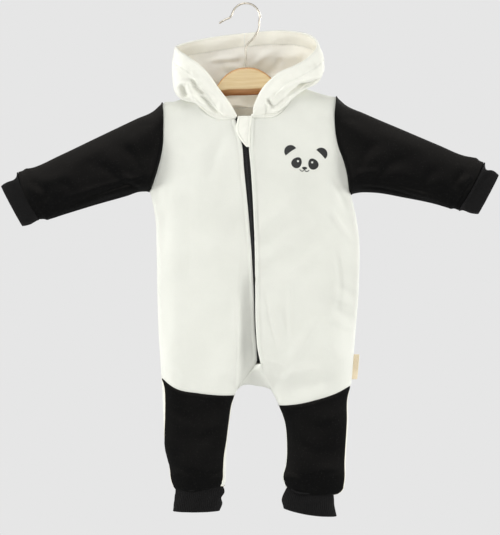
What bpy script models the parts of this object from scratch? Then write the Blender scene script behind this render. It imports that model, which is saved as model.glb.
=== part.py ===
"""A baby's hooded panda onesie on a wooden hanger, built from the pieces that a maker cuts and sews.

Every length in the tables is in millimetres. "down" is the distance below the place where the hook rests,
"x" runs to the wearer's left and "y" to the back. Each piece of cloth is an open surface worked out from
sections, which is then given its thickness inwards, so that all the pieces are walls round one hollow.
"""

import math

import bmesh
import bpy
import numpy as np

MM = 0.001

# Thicknesses of the cloths, and the gaps that part two pieces at a seam and two layers.
KNIT = 1.8
RIB_KNIT = 2.2
RIB_HEIGHT = 0.5
LINING = 0.9
GUARD = 2.2
TAPE = 1.0
LABEL = 0.9
SEAM_GAP = 0.3
LAYER_GAP = 0.35

RIGHT, LEFT = -1, 1
FRONT, BACK = -1, 1


def table(names, *rows):
    """Rows of numbers under named columns."""
    return dict(zip(names.split(), np.array(rows, float).T))


# The body's outline, seen from the front: the armhole seams, then the side seams down to the ankles.
ARMHOLE = {
    RIGHT: table("down x", (138, -115.1), (166, -114.6), (205, -118.1), (235, -125.7), (259, -134.0)),
    LEFT: table("down x", (129.5, 124.9), (160, 123.6), (197, 129.3), (218, 137.2), (232, 141.1), (263, 145.7)),
}
SIDE = {
    RIGHT: table(
        "down x", (259, -134.0), (280, -129.2), (298, -126.1), (342, -124.3), (410, -123.1), (465, -121.1),
        (510, -118.1), (530, -116.7), (578, -114.6), (618, -112.0), (641, -106.9), (667, -102.9), (675, -99.0),
    ),
    LEFT: table(
        "down x", (263, 145.7), (290, 152.3), (331, 157.9), (349, 158.4), (384, 157.4), (410, 156.5),
        (445, 153.4), (498, 149.3), (524, 147.0), (549, 142.2), (576, 142.6), (635, 139.1), (670, 136.0),
        (678, 131.0), (683, 122.5),
    ),
}
# The inner edges of the legs, from the ends of the gusset down to the ankles.
INSEAM = {
    RIGHT: table(
        "down x", (536, -12.0), (544, -15.4), (580, -22.5), (618, -26.6), (647, -27.6), (667, -28.6), (675, -30.5),
    ),
    LEFT: table(
        "down x", (536, 34.6), (544.5, 39.5), (558, 45.6), (578, 52.8), (610, 56.1), (641, 54.7), (659, 51.0),
        (672, 55.5),
    ),
}
# The lowest line of the crotch, between the two ends of the gusset.
CROTCH = table("x down", (-12, 536), (-6, 531.2), (2, 529.2), (15.6, 531), (26, 532.6), (34.6, 536))

# The ridge of the shoulders, carried on over the neck, where nothing of it is left.
SHOULDER = table(
    "x down", (-115.1, 138), (-111, 136.4), (-99, 135.4), (-90, 131.9), (-75.6, 126.5), (-40, 112), (0, 103),
    (40, 103.5), (75, 114.5), (95.4, 122), (114.9, 127.6), (124.9, 129.5),
)
NECK_POINT = {RIGHT: -75.6, LEFT: 75.0}
FRONT_NECK = {
    RIGHT: table(
        "x down", (-75.6, 126.5), (-73.1, 130.3), (-67.5, 138.6), (-56.4, 151), (-42.6, 160), (-28.7, 162.2),
        (-12.8, 159.4),
    ),
    LEFT: table(
        "x down", (6.6, 158.7), (22.6, 159), (38, 158), (47.5, 152.6), (57.2, 141.4), (64.2, 130.3), (69.7, 122),
        (75, 114.5),
    ),
}
BACK_NECK = table("x down", (-75.6, 126.5), (-62, 135.5), (-38, 142), (0, 144), (38, 140), (62, 128), (75, 114.5))

# The centre edges of the fronts. The right one turns out along the gusset's seam below the zip's end.
FORK = 536.0
CENTRE = {
    RIGHT: table(
        "down x", (159.4, -12.8), (192.7, -6.5), (231.5, -3.0), (273, 1.2), (342, 7.1), (398, 10.4), (453, 12.2),
        (484, 14.6), (500, 13.6), (512, 5.0), (525, -5.0), (536, -12.0),
    ),
    LEFT: table(
        "down x", (158.7, 6.6), (176, 5.4), (199.6, 4.8), (231.5, 7.5), (273, 10.1), (342, 12.8), (398, 13.5),
        (453, 14.5), (481, 17.0), (500, 21.5), (515.6, 27.2), (536, 34.6),
    ),
}

# Lines down the back, one on each side of the crotch, and lines across the fronts above the leg seams.
SPLIT = {
    RIGHT: table("down x", (100, -34), (300, -28), (430, -18), (536, -12)),
    LEFT: table("down x", (100, 38), (300, 38), (430, 36), (536, 34.6)),
}
ZIP_ROW = {RIGHT: table("x down", (-124, 468), (16, 500.8)), LEFT: table("x down", (19, 500.8), (154, 474))}
FORK_ROW = {RIGHT: table("x down", (-119, 500), (-12, 536)), LEFT: table("x down", (34.6, 536), (149, 506))}

# The seams where the white fronts meet the black leg panels, and those where the legs meet the cuffs.
LEG_SEAM = {
    RIGHT: table("x down", (-117, 520), (-104, 530), (-65, 540.2), (-39, 543.2), (-15.4, 544)),
    LEFT: table("x down", (45.6, 558), (57, 557.4), (97.4, 549.5), (128, 539.4), (144.5, 531)),
}
ANKLE = {
    RIGHT: table("x down", (-99, 675), (-65, 678.5), (-30.5, 675)),
    LEFT: table("x down", (55.5, 672), (70, 679.4), (90, 682), (122.5, 683)),
}

# How far the front and back stand from the middle, and how wide the turn at the edges is.
DEPTH = table(
    "down front back turn", (100, 20, 12, 30), (150, 23, 14, 32), (200, 25, 16, 34), (300, 26, 17, 34),
    (420, 26, 17, 34), (500, 25.5, 17, 36), (560, 23, 17, 39), (620, 21, 16.5, 38), (660, 19, 15.5, 34),
    (676, 15, 13, 32), (685, 13.5, 12, 30),
)
SHOULDER_TURN = 26.0

# Shares across a panel of its columns, and down it of its rows, closer together where it turns.
SPREAD = [0, 0.018, 0.07, 0.15, 0.26, 0.385, 0.44, 0.53, 0.65, 0.76, 0.86, 0.935, 0.983, 1]
BACK_SPREAD = [0, 0.02, 0.075, 0.16, 0.28, 0.40, 0.5, 0.57, 0.65, 0.78, 0.9, 0.97, 1]
ARM_ROWS = [0.02, 0.08, 0.18, 0.34, 0.50, 0.65, 0.79, 0.90, 0.97, 1]
SLEEVE_RINGS = [0, 0.05, 0.11, 0.18, 0.27, 0.36, 0.46, 0.56, 0.66, 0.76, 0.85, 0.92, 1]
UNDERARM_TURN = 46.0

# The fold beside the zip: the right front bends back to the zip, from its fold line on.
FOLD = table("down x dip", (300, -4, 0), (350, -8, 1), (400, -10.5, 4), (450, -12, 7.5), (500, -12.5, 8.5), (545, -13, 7))

# The sleeves: their top and bottom edges from armhole to cuff, and their half depths.
SLEEVE = {
    RIGHT: table(
        "share top_x top_down low_x low_down front back", (0, -115.1, 138, -134, 259, 24, 16),
        (0.07, -126.4, 149.1, -146.6, 259, 22, 16), (0.2, -152, 161.2, -166, 265, 20, 16),
        (0.45, -205, 186.4, -210, 277.5, 18, 15.5), (0.7, -257.4, 211.5, -252, 290.4, 16.5, 15),
        (0.88, -295.5, 229.2, -277, 298, 15.5, 14.5), (0.96, -309, 232.5, -285.5, 298, 15, 14),
        (1, -312.8, 236.5, -288.2, 296.6, 13.5, 12.5),
    ),
    LEFT: table(
        "share top_x top_down low_x low_down front back", (0, 124.9, 129.5, 145.7, 263, 24, 16),
        (0.07, 137.2, 141, 156, 260.5, 22, 16), (0.2, 165, 153.8, 178, 260.3, 20, 16),
        (0.45, 215, 175.1, 222, 267.5, 18, 15.5), (0.7, 268, 197.6, 262, 275.8, 16.5, 15),
        (0.88, 304, 213, 288, 283, 15.5, 14.5), (0.96, 319, 216, 296.5, 284.4, 15, 14),
        (1, 324, 219.5, 299.5, 283, 13.5, 12.5),
    ),
}
# The cuffs: the ends of each ring, seen from the front, and its half depth.
CUFFS = {
    "sleeve_cuff_right": table(
        "share a_x a_down b_x b_down half", (0, -312.8, 236.5, -288.2, 296.6, 13), (0.35, -321, 244, -295, 301, 13.5),
        (0.7, -331, 249.5, -302, 305, 14), (1, -339.2, 253.8, -310.5, 307.4, 14),
    ),
    "sleeve_cuff_left": table(
        "share a_x a_down b_x b_down half", (0, 324, 219.5, 299.5, 283, 13), (0.35, 333, 229, 306, 286, 13.5),
        (0.7, 343, 233.5, 314, 289, 14), (1, 350.5, 238.4, 322.9, 290.6, 14),
    ),
    "ankle_cuff_right": table(
        "share a_x a_down b_x b_down half", (0, -99, 675, -30.5, 675, 14), (0.3, -98.5, 684, -31, 682, 15.5),
        (0.65, -100, 694, -33.5, 691, 15.5), (1, -100.3, 704.5, -34.5, 702, 15),
    ),
    "ankle_cuff_left": table(
        "share a_x a_down b_x b_down half", (0, 55.5, 672, 122.5, 683, 14), (0.3, 53, 681.5, 122.6, 690, 15.5),
        (0.65, 50.4, 690.5, 123, 699, 15.5), (1, 53, 702, 124.4, 711.5, 15),
    ),
}
# How far the middle of each end ring hangs below the straight line between its ends.
CUFF_SAG = {
    "sleeve_cuff_right": 0.0, "sleeve_cuff_left": 0.0, "ankle_cuff_right": 1.0, "ankle_cuff_left": 3.0,
}
CUFF_TOP_SAG = {
    "sleeve_cuff_right": 0.0, "sleeve_cuff_left": 0.0, "ankle_cuff_right": 3.5, "ankle_cuff_left": 3.5,
}
RIBS = 26

# The hood's ribs, from the right end of the neck seam round the back to the left end. Each rib is a curve
# from the neck seam to the face edge: "low" and "high" pull it out on the way, "edge" is where it ends.
HOOD = table(
    "share low_x low_y low_down high_x high_y high_down edge_x edge_y edge_down",
    (0.00, -15, -27, 157, -14, -28, 154, -13.2, -27.5, 151),
    (0.05, -25, -29, 151, -26, -32, 145, -23.0, -30.5, 139),
    (0.10, -38, -31, 143, -42, -37, 132, -37.0, -33, 120.6),
    (0.16, -55, -34, 136, -64, -41, 118, -49.5, -34.5, 102.6),
    (0.22, -76, -35, 131, -86, -41, 100, -63.3, -33, 88.0),
    (0.28, -100, -31, 127, -107, -33, 88, -79.0, -27, 76.0),
    (0.33, -110, -4, 121, -107, -8, 78, -96.5, -12, 62.5),
    (0.38, -97, 36, 136, -102, 24, 64, -90.0, 6, 55.5),
    (0.44, -58, 60, 170, -62, 46, 56, -52.0, 15, 45.5),
    (0.50, 0, 68, 182, 0, 58, 50, -2.0, 20, 38.8),
    (0.56, 58, 60, 166, 62, 46, 48, 50.0, 16, 38.4),
    (0.62, 103, 36, 130, 109, 26, 56, 90.5, 6, 47.1),
    (0.67, 120, -4, 107, 118, -8, 72, 100.0, -10, 58.5),
    (0.72, 108, -31, 112, 115, -34, 82, 87.0, -26, 76.0),
    (0.78, 84, -35, 120, 92, -41, 92, 67.2, -33, 88.0),
    (0.84, 60, -34, 130, 66, -41, 108, 45.2, -34.5, 98.5),
    (0.90, 39, -31, 141, 42, -37, 126, 23.0, -33, 120.0),
    (0.95, 20, -29, 150, 21, -31, 142, 12.8, -29.5, 141.0),
    (1.00, 9.5, -27, 156.4, 11, -28, 153, 13.0, -27.5, 150.5),
)
HOOD_POINTS = (0.31, 0.69)
HOOD_ENDS = (-14.8, 8.6)
HOOD_RIBS = [0, 0.04, 0.08, 0.12, 0.16, 0.20, 0.24, 0.272, 0.292, 0.302, 0.31, 0.32, 0.34, 0.37, 0.40, 0.435, 0.47, 0.5]
HOOD_STEPS = [0, 0.03, 0.08, 0.15, 0.24, 0.35, 0.47, 0.59, 0.71, 0.82, 0.92, 1]
NECK_MIDDLE = 95.0
NECK_CLEAR = 0.7
NECK_STAND = 5.0

# The chin guard over the top of the zip: its left edge is straight and its right edge is a long bow.
GUARD_SHAPE = table(
    "down left right", (157.6, -11.4, 7.4), (166, -12.6, 6.2), (173, -12.8, 5.4), (184, -9.6, 4.9), (192.7, -4.2, 4.6),
    (199, 1.6, 4.6),
)
GUARD_CLEAR = 0.9
GUARD_ROWS = [154, 158, 163, 169, 176, 184, 191, 196, 199]

# The wooden hanger: its top and bottom edges, and the steel hook's wire.
HANGER_TOP = table(
    "x down", (-112, 141.8), (-99, 138.5), (-88, 134.9), (-75.6, 130.8), (-62, 126.5), (-50, 122.2), (-43, 116.5),
    (-38.5, 111), (-34, 105), (-25, 96.4), (-13, 90.2), (0, 88.2), (13, 89.2), (25, 94.4), (34.5, 101.8),
    (39.5, 106.6), (45, 110.6), (52, 113.6), (62, 115.6), (75, 120.3), (90, 125.3), (106, 130.5), (120, 135.3),
)
HANGER_LOW = table(
    "x down", (-112, 155), (-90, 149.5), (-60, 138.5), (-40, 130.2), (-25, 127.6), (0, 126.8), (25, 126),
    (42, 127.6), (60, 134.5), (90, 143), (120, 147),
)
HANGER_THICK = 12.0
HANGER_EDGE = 4.6
WIRE = 3.0
CROOK_RADIUS = 19.5
CROOK_DOWN = 18.0
STEM_X = 0.6
STEM_TOP = 58.0
HOOK_BEND = table("x down", (3.0, 54.6), (9.4, 48.6), (15.0, 40.8), (18.4, 31.5))
HOOK_TIP = table("x down", (-21.5, 18), (-28.4, 21.2), (-37.4, 26.6))
CROOK_FROM, CROOK_TO = -18.0, 158.0

HANGER_STATIONS = [-112, -106, -96, -84, -72, -62, -54, -48, -43, -38.5, -34, -28, -20, -10, 0, 10, 20, 28, 34.5,
                   39.5, 45, 52, 60, 70, 82, 94, 106, 114, 120]
TAPE_UNDER = 6.0

# The bare side label, and the slider at the top of the zip with its pull lying down.
LABEL_TOP, LABEL_LOW, LABEL_OUT = 487.3, 521.5, 7.4
SLIDER_DOWN, SLIDER_LENGTH, SLIDER_WIDTH, SLIDER_HEIGHT = 171.0, 9.0, 7.6, 2.6
PULL_LENGTH, PULL_WIDTH, PULL_HEIGHT = 15.0, 4.0, 1.4

MATERIALS = {
    "white_knit": ((0.83, 0.84, 0.78, 1), 0.9, 0.0),
    "black_knit": ((0.010, 0.0095, 0.009, 1), 0.85, 0.0),
    "black_rib": ((0.009, 0.0085, 0.008, 1), 0.9, 0.0),
    "lining": ((0.74, 0.70, 0.58, 1), 0.9, 0.0),
    "zip_tape": ((0.02, 0.02, 0.02, 1), 0.6, 0.0),
    "label": ((0.78, 0.68, 0.48, 1), 0.8, 0.0),
    "wood": ((0.72, 0.50, 0.25, 1), 0.4, 0.0),
    "steel": ((0.60, 0.58, 0.55, 1), 0.25, 1.0),
}


def smooth(rows, by, column, at):
    """A smooth line through a table's rows: cubics whose slopes come from the neighbouring rows."""
    knots, values = rows[by], rows[column]
    slopes = np.gradient(values, knots)
    at = np.clip(np.asarray(at, float), knots[0], knots[-1])
    i = np.clip(np.searchsorted(knots, at, side="right") - 1, 0, len(knots) - 2)
    step = knots[i + 1] - knots[i]
    t = (at - knots[i]) / step
    rise = t * t * (3 - 2 * t)
    return (
        values[i] * (1 - rise) + values[i + 1] * rise
        + slopes[i] * step * t * (1 - t) ** 2 - slopes[i + 1] * step * t * t * (1 - t)
    )


def turn(share):
    """A quarter of a circle: 0 at an edge, 1 once the share of the turn is used up."""
    return np.sqrt(np.clip(1 - (1 - np.clip(share, 0, 1)) ** 2, 0, 1))


def mix(a, b, share):
    return a + (b - a) * share


def unit(ways):
    return ways / np.maximum(np.linalg.norm(ways, axis=-1, keepdims=True), 1e-12)


def outer_x(down, hand):
    """The outline's x: the armhole seam above the underarm, the side seam below it."""
    side = SIDE[hand]
    above = smooth(ARMHOLE[hand], "down", "x", down)
    return np.where(down < side["down"][0], above, smooth(side, "down", "x", down))


def inner_x(down, hand):
    return smooth(INSEAM[hand], "down", "x", down)


def centre_x(down, hand):
    """The centre edge of a front: beside the zip, then along the gusset, then the top of the inseam."""
    return np.where(down > FORK, inner_x(down, hand), smooth(CENTRE[hand], "down", "x", down))


def split_x(down, hand):
    """A line down the back from the neck to the fork, then along the inseam."""
    return np.where(down > FORK, inner_x(down, hand), smooth(SPLIT[hand], "down", "x", down))


def gap_distance(x, down):
    """How far each place is from the gap between the legs: up one inseam, over the crotch, down the other."""
    over = np.linspace(CROTCH["x"][0], CROTCH["x"][-1], 40)[1:-1]
    ends = {h: np.linspace(FORK, INSEAM[h]["down"][-1] + 30, 60) for h in (RIGHT, LEFT)}
    line = np.concatenate([
        np.stack([inner_x(ends[RIGHT], RIGHT), ends[RIGHT]], 1)[::-1],
        np.stack([over, smooth(CROTCH, "x", "down", over)], 1),
        np.stack([inner_x(ends[LEFT], LEFT), ends[LEFT]], 1),
    ])
    places = np.stack(np.broadcast_arrays(x, down), -1)[..., None, :]
    start, run = line[:-1], np.diff(line, axis=0)
    share = np.clip(((places - start) * run).sum(-1) / (run * run).sum(-1), 0, 1)
    return np.linalg.norm(places - start - share[..., None] * run, axis=-1).min(-1)


def fold_dip(x, down):
    """How far the right front bends back between its fold line and the zip."""
    start = smooth(FOLD, "down", "x", down)
    share = np.clip((x - start) / (smooth(CENTRE[RIGHT], "down", "x", down) - start), 0, 1)
    return smooth(FOLD, "down", "dip", down) * (1 - (1 - share) ** 2)


def body_y(x, down, side, hand=LEFT):
    """The y of the front or back of body and legs: its depth there, turned in at every edge."""
    x, down = np.broadcast_arrays(np.asarray(x, float), np.asarray(down, float))
    reach = smooth(DEPTH, "down", "front" if side == FRONT else "back", down)
    width = smooth(DEPTH, "down", "turn", down)
    if side == FRONT and hand == RIGHT:
        reach = reach - fold_dip(x, down)
    shut = turn((down - smooth(SHOULDER, "x", "down", x)) / SHOULDER_TURN) * turn(gap_distance(x, down) / width)
    for edge in (RIGHT, LEFT):
        out = np.maximum(edge * (outer_x(down, edge) - x), 0) / width
        up = np.maximum(SIDE[edge]["down"][0] - down, 0) / UNDERARM_TURN
        shut = shut * turn(np.hypot(out, up))
    return side * reach * shut


def panel(from_x, to_x, spread, lines, stages):
    """A grid of x and down. Each column runs a share of the way from one border line to the other,
    and its rows stand at given shares between the lines that cross it, from top to bottom."""
    xs, downs = [], []
    for share in spread:
        column = lambda down: mix(from_x(down), to_x(down), share)
        crossings = []
        for line in lines:
            down = np.array(300.0)
            for _ in range(60):
                down = mix(down, line(column(down)), 0.8)
            crossings.append(float(down))
        rows = [crossings[0]] + [
            mix(a, b, v) for a, b, shares in zip(crossings, crossings[1:], stages) for v in shares
        ]
        downs.append(np.array(rows))
        xs.append(column(downs[-1]))
    return np.stack(xs, 1), np.stack(downs, 1)


def with_column(spread, from_x, to_x, x, down):
    """The spread, with its nearest share changed so that one column passes through a given place."""
    start, end = float(from_x(down)), float(to_x(down))
    share = (x - start) / (end - start)
    spread = np.array(spread, float)
    spread[np.abs(spread - share).argmin()] = share
    return spread


def points_of(x, down, y):
    return np.stack(np.broadcast_arrays(x, y, -down), -1)


def square_to(line, hint):
    """Level directions square to a line of points as seen from the front, on the side of the hint."""
    along = np.gradient(line, axis=0)
    ways = unit(np.stack([-along[:, 2], np.zeros(len(line)), along[:, 0]], 1))
    return ways * np.where(ways @ np.array(hint, float) < 0, -1, 1)[:, None]


def mark(cuts, where, ways):
    """Notes a seam's direction at every place of a border, beside one that may be there already."""
    part = cuts[where]
    ways = np.broadcast_to(ways, part[:, 0].shape)
    taken = np.abs(part[:, 0]).sum(-1) > 0
    part[taken, 1] = ways[taken]
    part[~taken, 0] = ways[~taken]


def no_cuts(points):
    return np.zeros(points.shape[:2] + (2, 3))


def patch_quads(rows, columns, flip):
    index = np.arange(rows * columns).reshape(rows, columns)
    quads = np.stack([index[:-1, :-1], index[1:, :-1], index[1:, 1:], index[:-1, 1:]], -1).reshape(-1, 4)
    return quads[:, ::-1] if flip else quads


class Cloth:
    """One piece of cloth, put together from grids of points that share their common borders."""

    def __init__(self, name, material, thickness):
        self.name, self.material, self.thickness = name, material, thickness
        self.points, self.cuts, self.quads, self.thick, self.raised = [], [], [], [], []

    def add(self, points, cuts=None, flip=False, thickness=None, raised=0.0):
        base = sum(len(p) for p in self.points)
        rows, columns = points.shape[:2]
        self.quads.append(patch_quads(rows, columns, flip) + base)
        self.points.append(points.reshape(-1, 3))
        self.cuts.append((no_cuts(points) if cuts is None else cuts).reshape(-1, 2, 3))
        thick = self.thickness if thickness is None else thickness
        self.thick.append(np.broadcast_to(thick, (rows, columns)).ravel())
        self.raised.append(np.broadcast_to(raised, (rows, columns)).ravel())
        return self

    def build(self):
        """The closed wall: the outer surface, the inner one, and rims along the free borders."""
        every, ways = np.concatenate(self.points), np.concatenate(self.cuts)
        _, first, index = np.unique(np.round(every, 3), axis=0, return_index=True, return_inverse=True)
        index = index.reshape(-1)
        points, cuts = every[first], np.zeros((len(first), 2, 3))
        for k in range(2):
            given = np.abs(ways[:, k]).sum(1) > 0
            cuts[index[given], k] = ways[given, k]
        thick, raised = np.concatenate(self.thick)[first], np.concatenate(self.raised)[first]
        faces = [tidy_face(face) for face in index[np.concatenate(self.quads)].tolist()]
        faces = [face for face in faces if len(face) > 2]
        normals = point_normals(points, faces)
        points = points - SEAM_GAP / 2 * cuts.sum(1)
        inner = points + inward(normals, cuts) * thick[:, None]
        outer = points + normals * raised[:, None]
        count = len(points)
        walls = faces + [[i + count for i in reversed(face)] for face in faces]
        walls += [[b, a, a + count, b + count] for a, b in border_edges(faces)]
        return add_object(self.name, np.concatenate([outer, inner]), walls, self.material)


def tidy_face(face):
    """A face without the corners that fell together."""
    return [a for i, a in enumerate(face) if a != face[i - 1]]


def point_normals(points, faces):
    """Each point's outward direction: the sum of those of its faces, by their areas."""
    normals = np.zeros_like(points)
    for face in faces:
        ring = points[face]
        normals[face] += np.cross(ring[2] - ring[0], ring[-1] - ring[1])
    return unit(normals)


def inward(normals, cuts):
    """The way to the inner wall: against the normal, but kept inside the planes of the seams."""
    ways = -normals
    for i, (n, (a, b)) in enumerate(zip(normals, cuts)):
        if a.any() and b.any():
            line = unit(np.cross(a, b))
            facing = line @ n
            ways[i] = -line * np.sign(facing) / max(abs(facing), 0.45)
        elif a.any():
            flat = n - (n @ a) * a
            ways[i] = -flat / max(flat @ flat, 0.25)
    return ways


def border_edges(faces):
    """The directed edges that only one face uses."""
    used = {(a, b) for face in faces for a, b in zip(face, face[1:] + face[:1])}
    return sorted((a, b) for a, b in used if (b, a) not in used)


def add_object(name, points, faces, material):
    """A closed solid with flat triangles, so that its corners are the same in every program."""
    mesh = bpy.data.meshes.new(name)
    mesh.from_pydata((np.asarray(points) * MM).tolist(), [], [list(face) for face in faces])
    shape = bmesh.new()
    shape.from_mesh(mesh)
    bmesh.ops.triangulate(shape, faces=shape.faces[:], quad_method="SHORT_EDGE")
    shape.to_mesh(mesh)
    shape.free()
    mesh.materials.append(make_material(material))
    thing = bpy.data.objects.new(name, mesh)
    bpy.context.scene.collection.objects.link(thing)
    mesh.shade_smooth()
    mesh.set_sharp_from_angle(angle=math.radians(40))
    return thing


def make_material(name):
    found = bpy.data.materials.get(name)
    if found:
        return found
    colour, roughness, metallic = MATERIALS[name]
    made = bpy.data.materials.new(name)
    made.use_nodes = True
    shader = made.node_tree.nodes["Principled BSDF"]
    shader.inputs["Base Color"].default_value = colour
    shader.inputs["Roughness"].default_value = roughness
    shader.inputs["Metallic"].default_value = metallic
    return made


def rows_to(*counts):
    """For each stage of a panel, its rows' shares."""
    return [count if isinstance(count, list) else [(i + 1) / count for i in range(count)] for count in counts]


def top_line(hand, neck):
    """The neck seam inside the neck point, the shoulder outside it."""
    point = NECK_POINT[hand]
    return lambda x: np.where(hand * x < hand * point, smooth(neck, "x", "down", x), smooth(SHOULDER, "x", "down", x))


def neck_point_down(hand):
    return float(smooth(SHOULDER, "x", "down", NECK_POINT[hand]))


def level(down):
    return lambda x: np.asarray(down, float)


def mark_side(cuts, points, hand, side, rows_armhole):
    """The seams of a panel's outer border: the armhole, then the side seam."""
    ways = square_to(points[: rows_armhole + 1, 0], (hand, 0, 0))
    mark(cuts, (slice(0, rows_armhole + 1), 0), ways)
    mark(cuts, (slice(rows_armhole, None), 0), (0, -side, 0))


def mark_top(cuts, points, hand, side):
    """The seams of a panel's upper border: the shoulder seam, and the neck seam inside it."""
    inside = hand * points[0, :, 0] < hand * NECK_POINT[hand] + 0.01
    neck = np.flatnonzero(inside)
    ways = square_to(points[0, neck], (0, 0, 1))
    mark(cuts[:, neck[0]:], (0, slice(None)), ways)
    mark(cuts[:, : neck[0] + 1], (0, slice(None)), (0, -side, 0))
    return points[0, neck]


def add_front(hand, things):
    """A white front, from the shoulder and the neck to the black leg."""
    arm = SIDE[hand]["down"][0]
    lines = [
        top_line(hand, FRONT_NECK[hand]), level(arm), lambda x: smooth(ZIP_ROW[hand], "x", "down", x),
        lambda x: smooth(FORK_ROW[hand], "x", "down", x), lambda x: smooth(LEG_SEAM[hand], "x", "down", x),
    ]
    stages = rows_to(ARM_ROWS, 8, [0.34, 0.62, 0.84, 1], 2)
    borders = (lambda d: outer_x(d, hand)), (lambda d: centre_x(d, hand))
    spread = with_column(SPREAD, *borders, NECK_POINT[hand], neck_point_down(hand))
    x, down = panel(*borders, spread, lines, stages)
    points = points_of(x, down, body_y(x, down, FRONT, hand))
    cuts = no_cuts(points)
    arm_row, zip_row, fork_row = (sum(len(s) for s in stages[:n]) for n in (1, 2, 3))
    mark_side(cuts, points, hand, FRONT, arm_row)
    things["neck", FRONT, hand] = mark_top(cuts, points, hand, FRONT)
    beside = points[zip_row : fork_row + 1, -1]
    mark(cuts, (slice(zip_row, fork_row + 1), -1), square_to(beside, (-hand, 0, -0.4)))
    mark(cuts, (slice(fork_row, None), -1), (0, 1, 0))
    mark(cuts, (-1, slice(None)), square_to(points[-1], (0, 0, -1)))
    cuts[-1, 0, 1], cuts[-1, -1, 1] = cuts[-1, 0, 1], cuts[-1, -1, 1]
    name = "front_right" if hand == RIGHT else "front_left"
    Cloth(name, "white_knit", KNIT).add(points, cuts, flip=hand == LEFT).build()
    things[name] = points
    things[name, "rows"] = (arm_row, zip_row, fork_row)
    things[name, "spread"] = spread


def add_leg_front(hand, things):
    """The black front of a leg, from the white front to the ankle."""
    above = "front_right" if hand == RIGHT else "front_left"
    lines = [lambda v: smooth(LEG_SEAM[hand], "x", "down", v), lambda v: smooth(ANKLE[hand], "x", "down", v)]
    borders = (lambda d: outer_x(d, hand)), (lambda d: inner_x(d, hand))
    x, down = panel(*borders, things[above, "spread"], lines, rows_to(9))
    points = points_of(x, down, body_y(x, down, FRONT))
    points[0] = things[above][-1]
    cuts = no_cuts(points)
    mark(cuts, (slice(None), 0), (0, 1, 0))
    mark(cuts, (slice(None), -1), (0, 1, 0))
    mark(cuts, (0, slice(None)), square_to(points[0], (0, 0, 1)))
    mark(cuts, (-1, slice(None)), square_to(points[-1], (0, 0, -1)))
    name = "leg_front_right" if hand == RIGHT else "leg_front_left"
    Cloth(name, "black_knit", KNIT).add(points, cuts, flip=hand == LEFT).build()
    things[name] = points


def add_back(things):
    """The white back of body and legs: a strip for each side and a patch over the crotch between them."""
    cloth = Cloth("back", "white_knit", KNIT)
    inner, arm_row, fork_row = {}, len(ARM_ROWS), len(ARM_ROWS) + 8
    for hand in (RIGHT, LEFT):
        lines = [
            top_line(hand, BACK_NECK), level(SIDE[hand]["down"][0]), level(FORK),
            lambda x: smooth(ANKLE[hand], "x", "down", x),
        ]
        stages = rows_to(ARM_ROWS, [0.14, 0.28, 0.43, 0.58, 0.72, 0.84, 0.93, 1], 9)
        borders = (lambda d: outer_x(d, hand)), (lambda d: split_x(d, hand))
        spread = with_column(BACK_SPREAD, *borders, NECK_POINT[hand], neck_point_down(hand))
        x, down = panel(*borders, spread, lines, stages)
        points = points_of(x, down, body_y(x, down, BACK))
        cuts = no_cuts(points)
        mark_side(cuts, points, hand, BACK, arm_row)
        things["neck", BACK, hand] = mark_top(cuts, points, hand, BACK)
        mark(cuts, (slice(fork_row, None), -1), (0, -1, 0))
        mark(cuts, (-1, slice(None)), square_to(points[-1], (0, 0, -1)))
        cloth.add(points, cuts, flip=hand == RIGHT)
        inner[hand] = points[: fork_row + 1, -1]
        things["back", hand] = points
    points = between(inner[RIGHT], inner[LEFT], np.linspace(0, 1, 6), BACK_NECK, CROTCH)
    points[:, 1:-1, 1] = body_y(points[:, 1:-1, 0], -points[:, 1:-1, 2], BACK)
    cuts = no_cuts(points)
    mark(cuts[:, 1:-1], (0, slice(None)), square_to(points[0], (0, 0, 1))[1:-1])
    mark(cuts[:, 1:-1], (-1, slice(None)), (0, -1, 0))
    cloth.add(points, cuts, flip=True)
    cloth.build()
    sides = things["neck", BACK, RIGHT], things["neck", BACK, LEFT]
    things["neck", BACK] = np.concatenate([sides[0], points[0, 1:-1], sides[1][::-1]])


def between(first, last, shares, top, low):
    """A grid from one line of points to another, its ends laid on a line above and one below."""
    points = np.stack([mix(first, last, s) for s in shares], 1)
    rise = -points[0, :, 2] - smooth(top, "x", "down", points[0, :, 0])
    fall = -points[-1, :, 2] - smooth(low, "x", "down", points[-1, :, 0])
    rise[[0, -1]] = 0
    fall[[0, -1]] = 0
    share = np.linspace(0, 1, len(first))[:, None]
    points[:, :, 2] += mix(rise[None], fall[None], share)
    return points


def add_gusset(things):
    """The crotch gusset, from the zip's end to the seam between the legs."""
    right, left = things["front_right"], things["front_left"]
    _, zip_row, fork_row = things["front_right", "rows"]
    sides = right[zip_row : fork_row + 1, -1], left[zip_row : fork_row + 1, -1]
    top = table("x down", (sides[0][0, 0], -sides[0][0, 2]), (sides[1][0, 0], -sides[1][0, 2]))
    points = between(*sides, np.linspace(0, 1, 8), top, CROTCH)
    share = np.linspace(0, 1, 8)[None, 1:-1]
    inside = points[:, 1:-1]
    plain = body_y(inside[..., 0], -inside[..., 2], FRONT)
    dip = fold_dip(sides[0][:, 0], -sides[0][:, 2])[:, None] * (1 - share) ** 1.5
    shut = plain / -smooth(DEPTH, "down", "front", -inside[..., 2])
    points[:, 1:-1, 1] = plain + dip * shut
    points[-1, 1:-1, 1] = 0
    cuts = no_cuts(points)
    mark(cuts, (slice(None), 0), square_to(points[:, 0], (-1, 0, 0.4)))
    mark(cuts, (slice(None), -1), square_to(points[:, -1], (1, 0, 0.4)))
    mark(cuts, (-1, slice(None)), (0, 1, 0))
    Cloth("gusset", "white_knit", KNIT).add(points, cuts).build()


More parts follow.
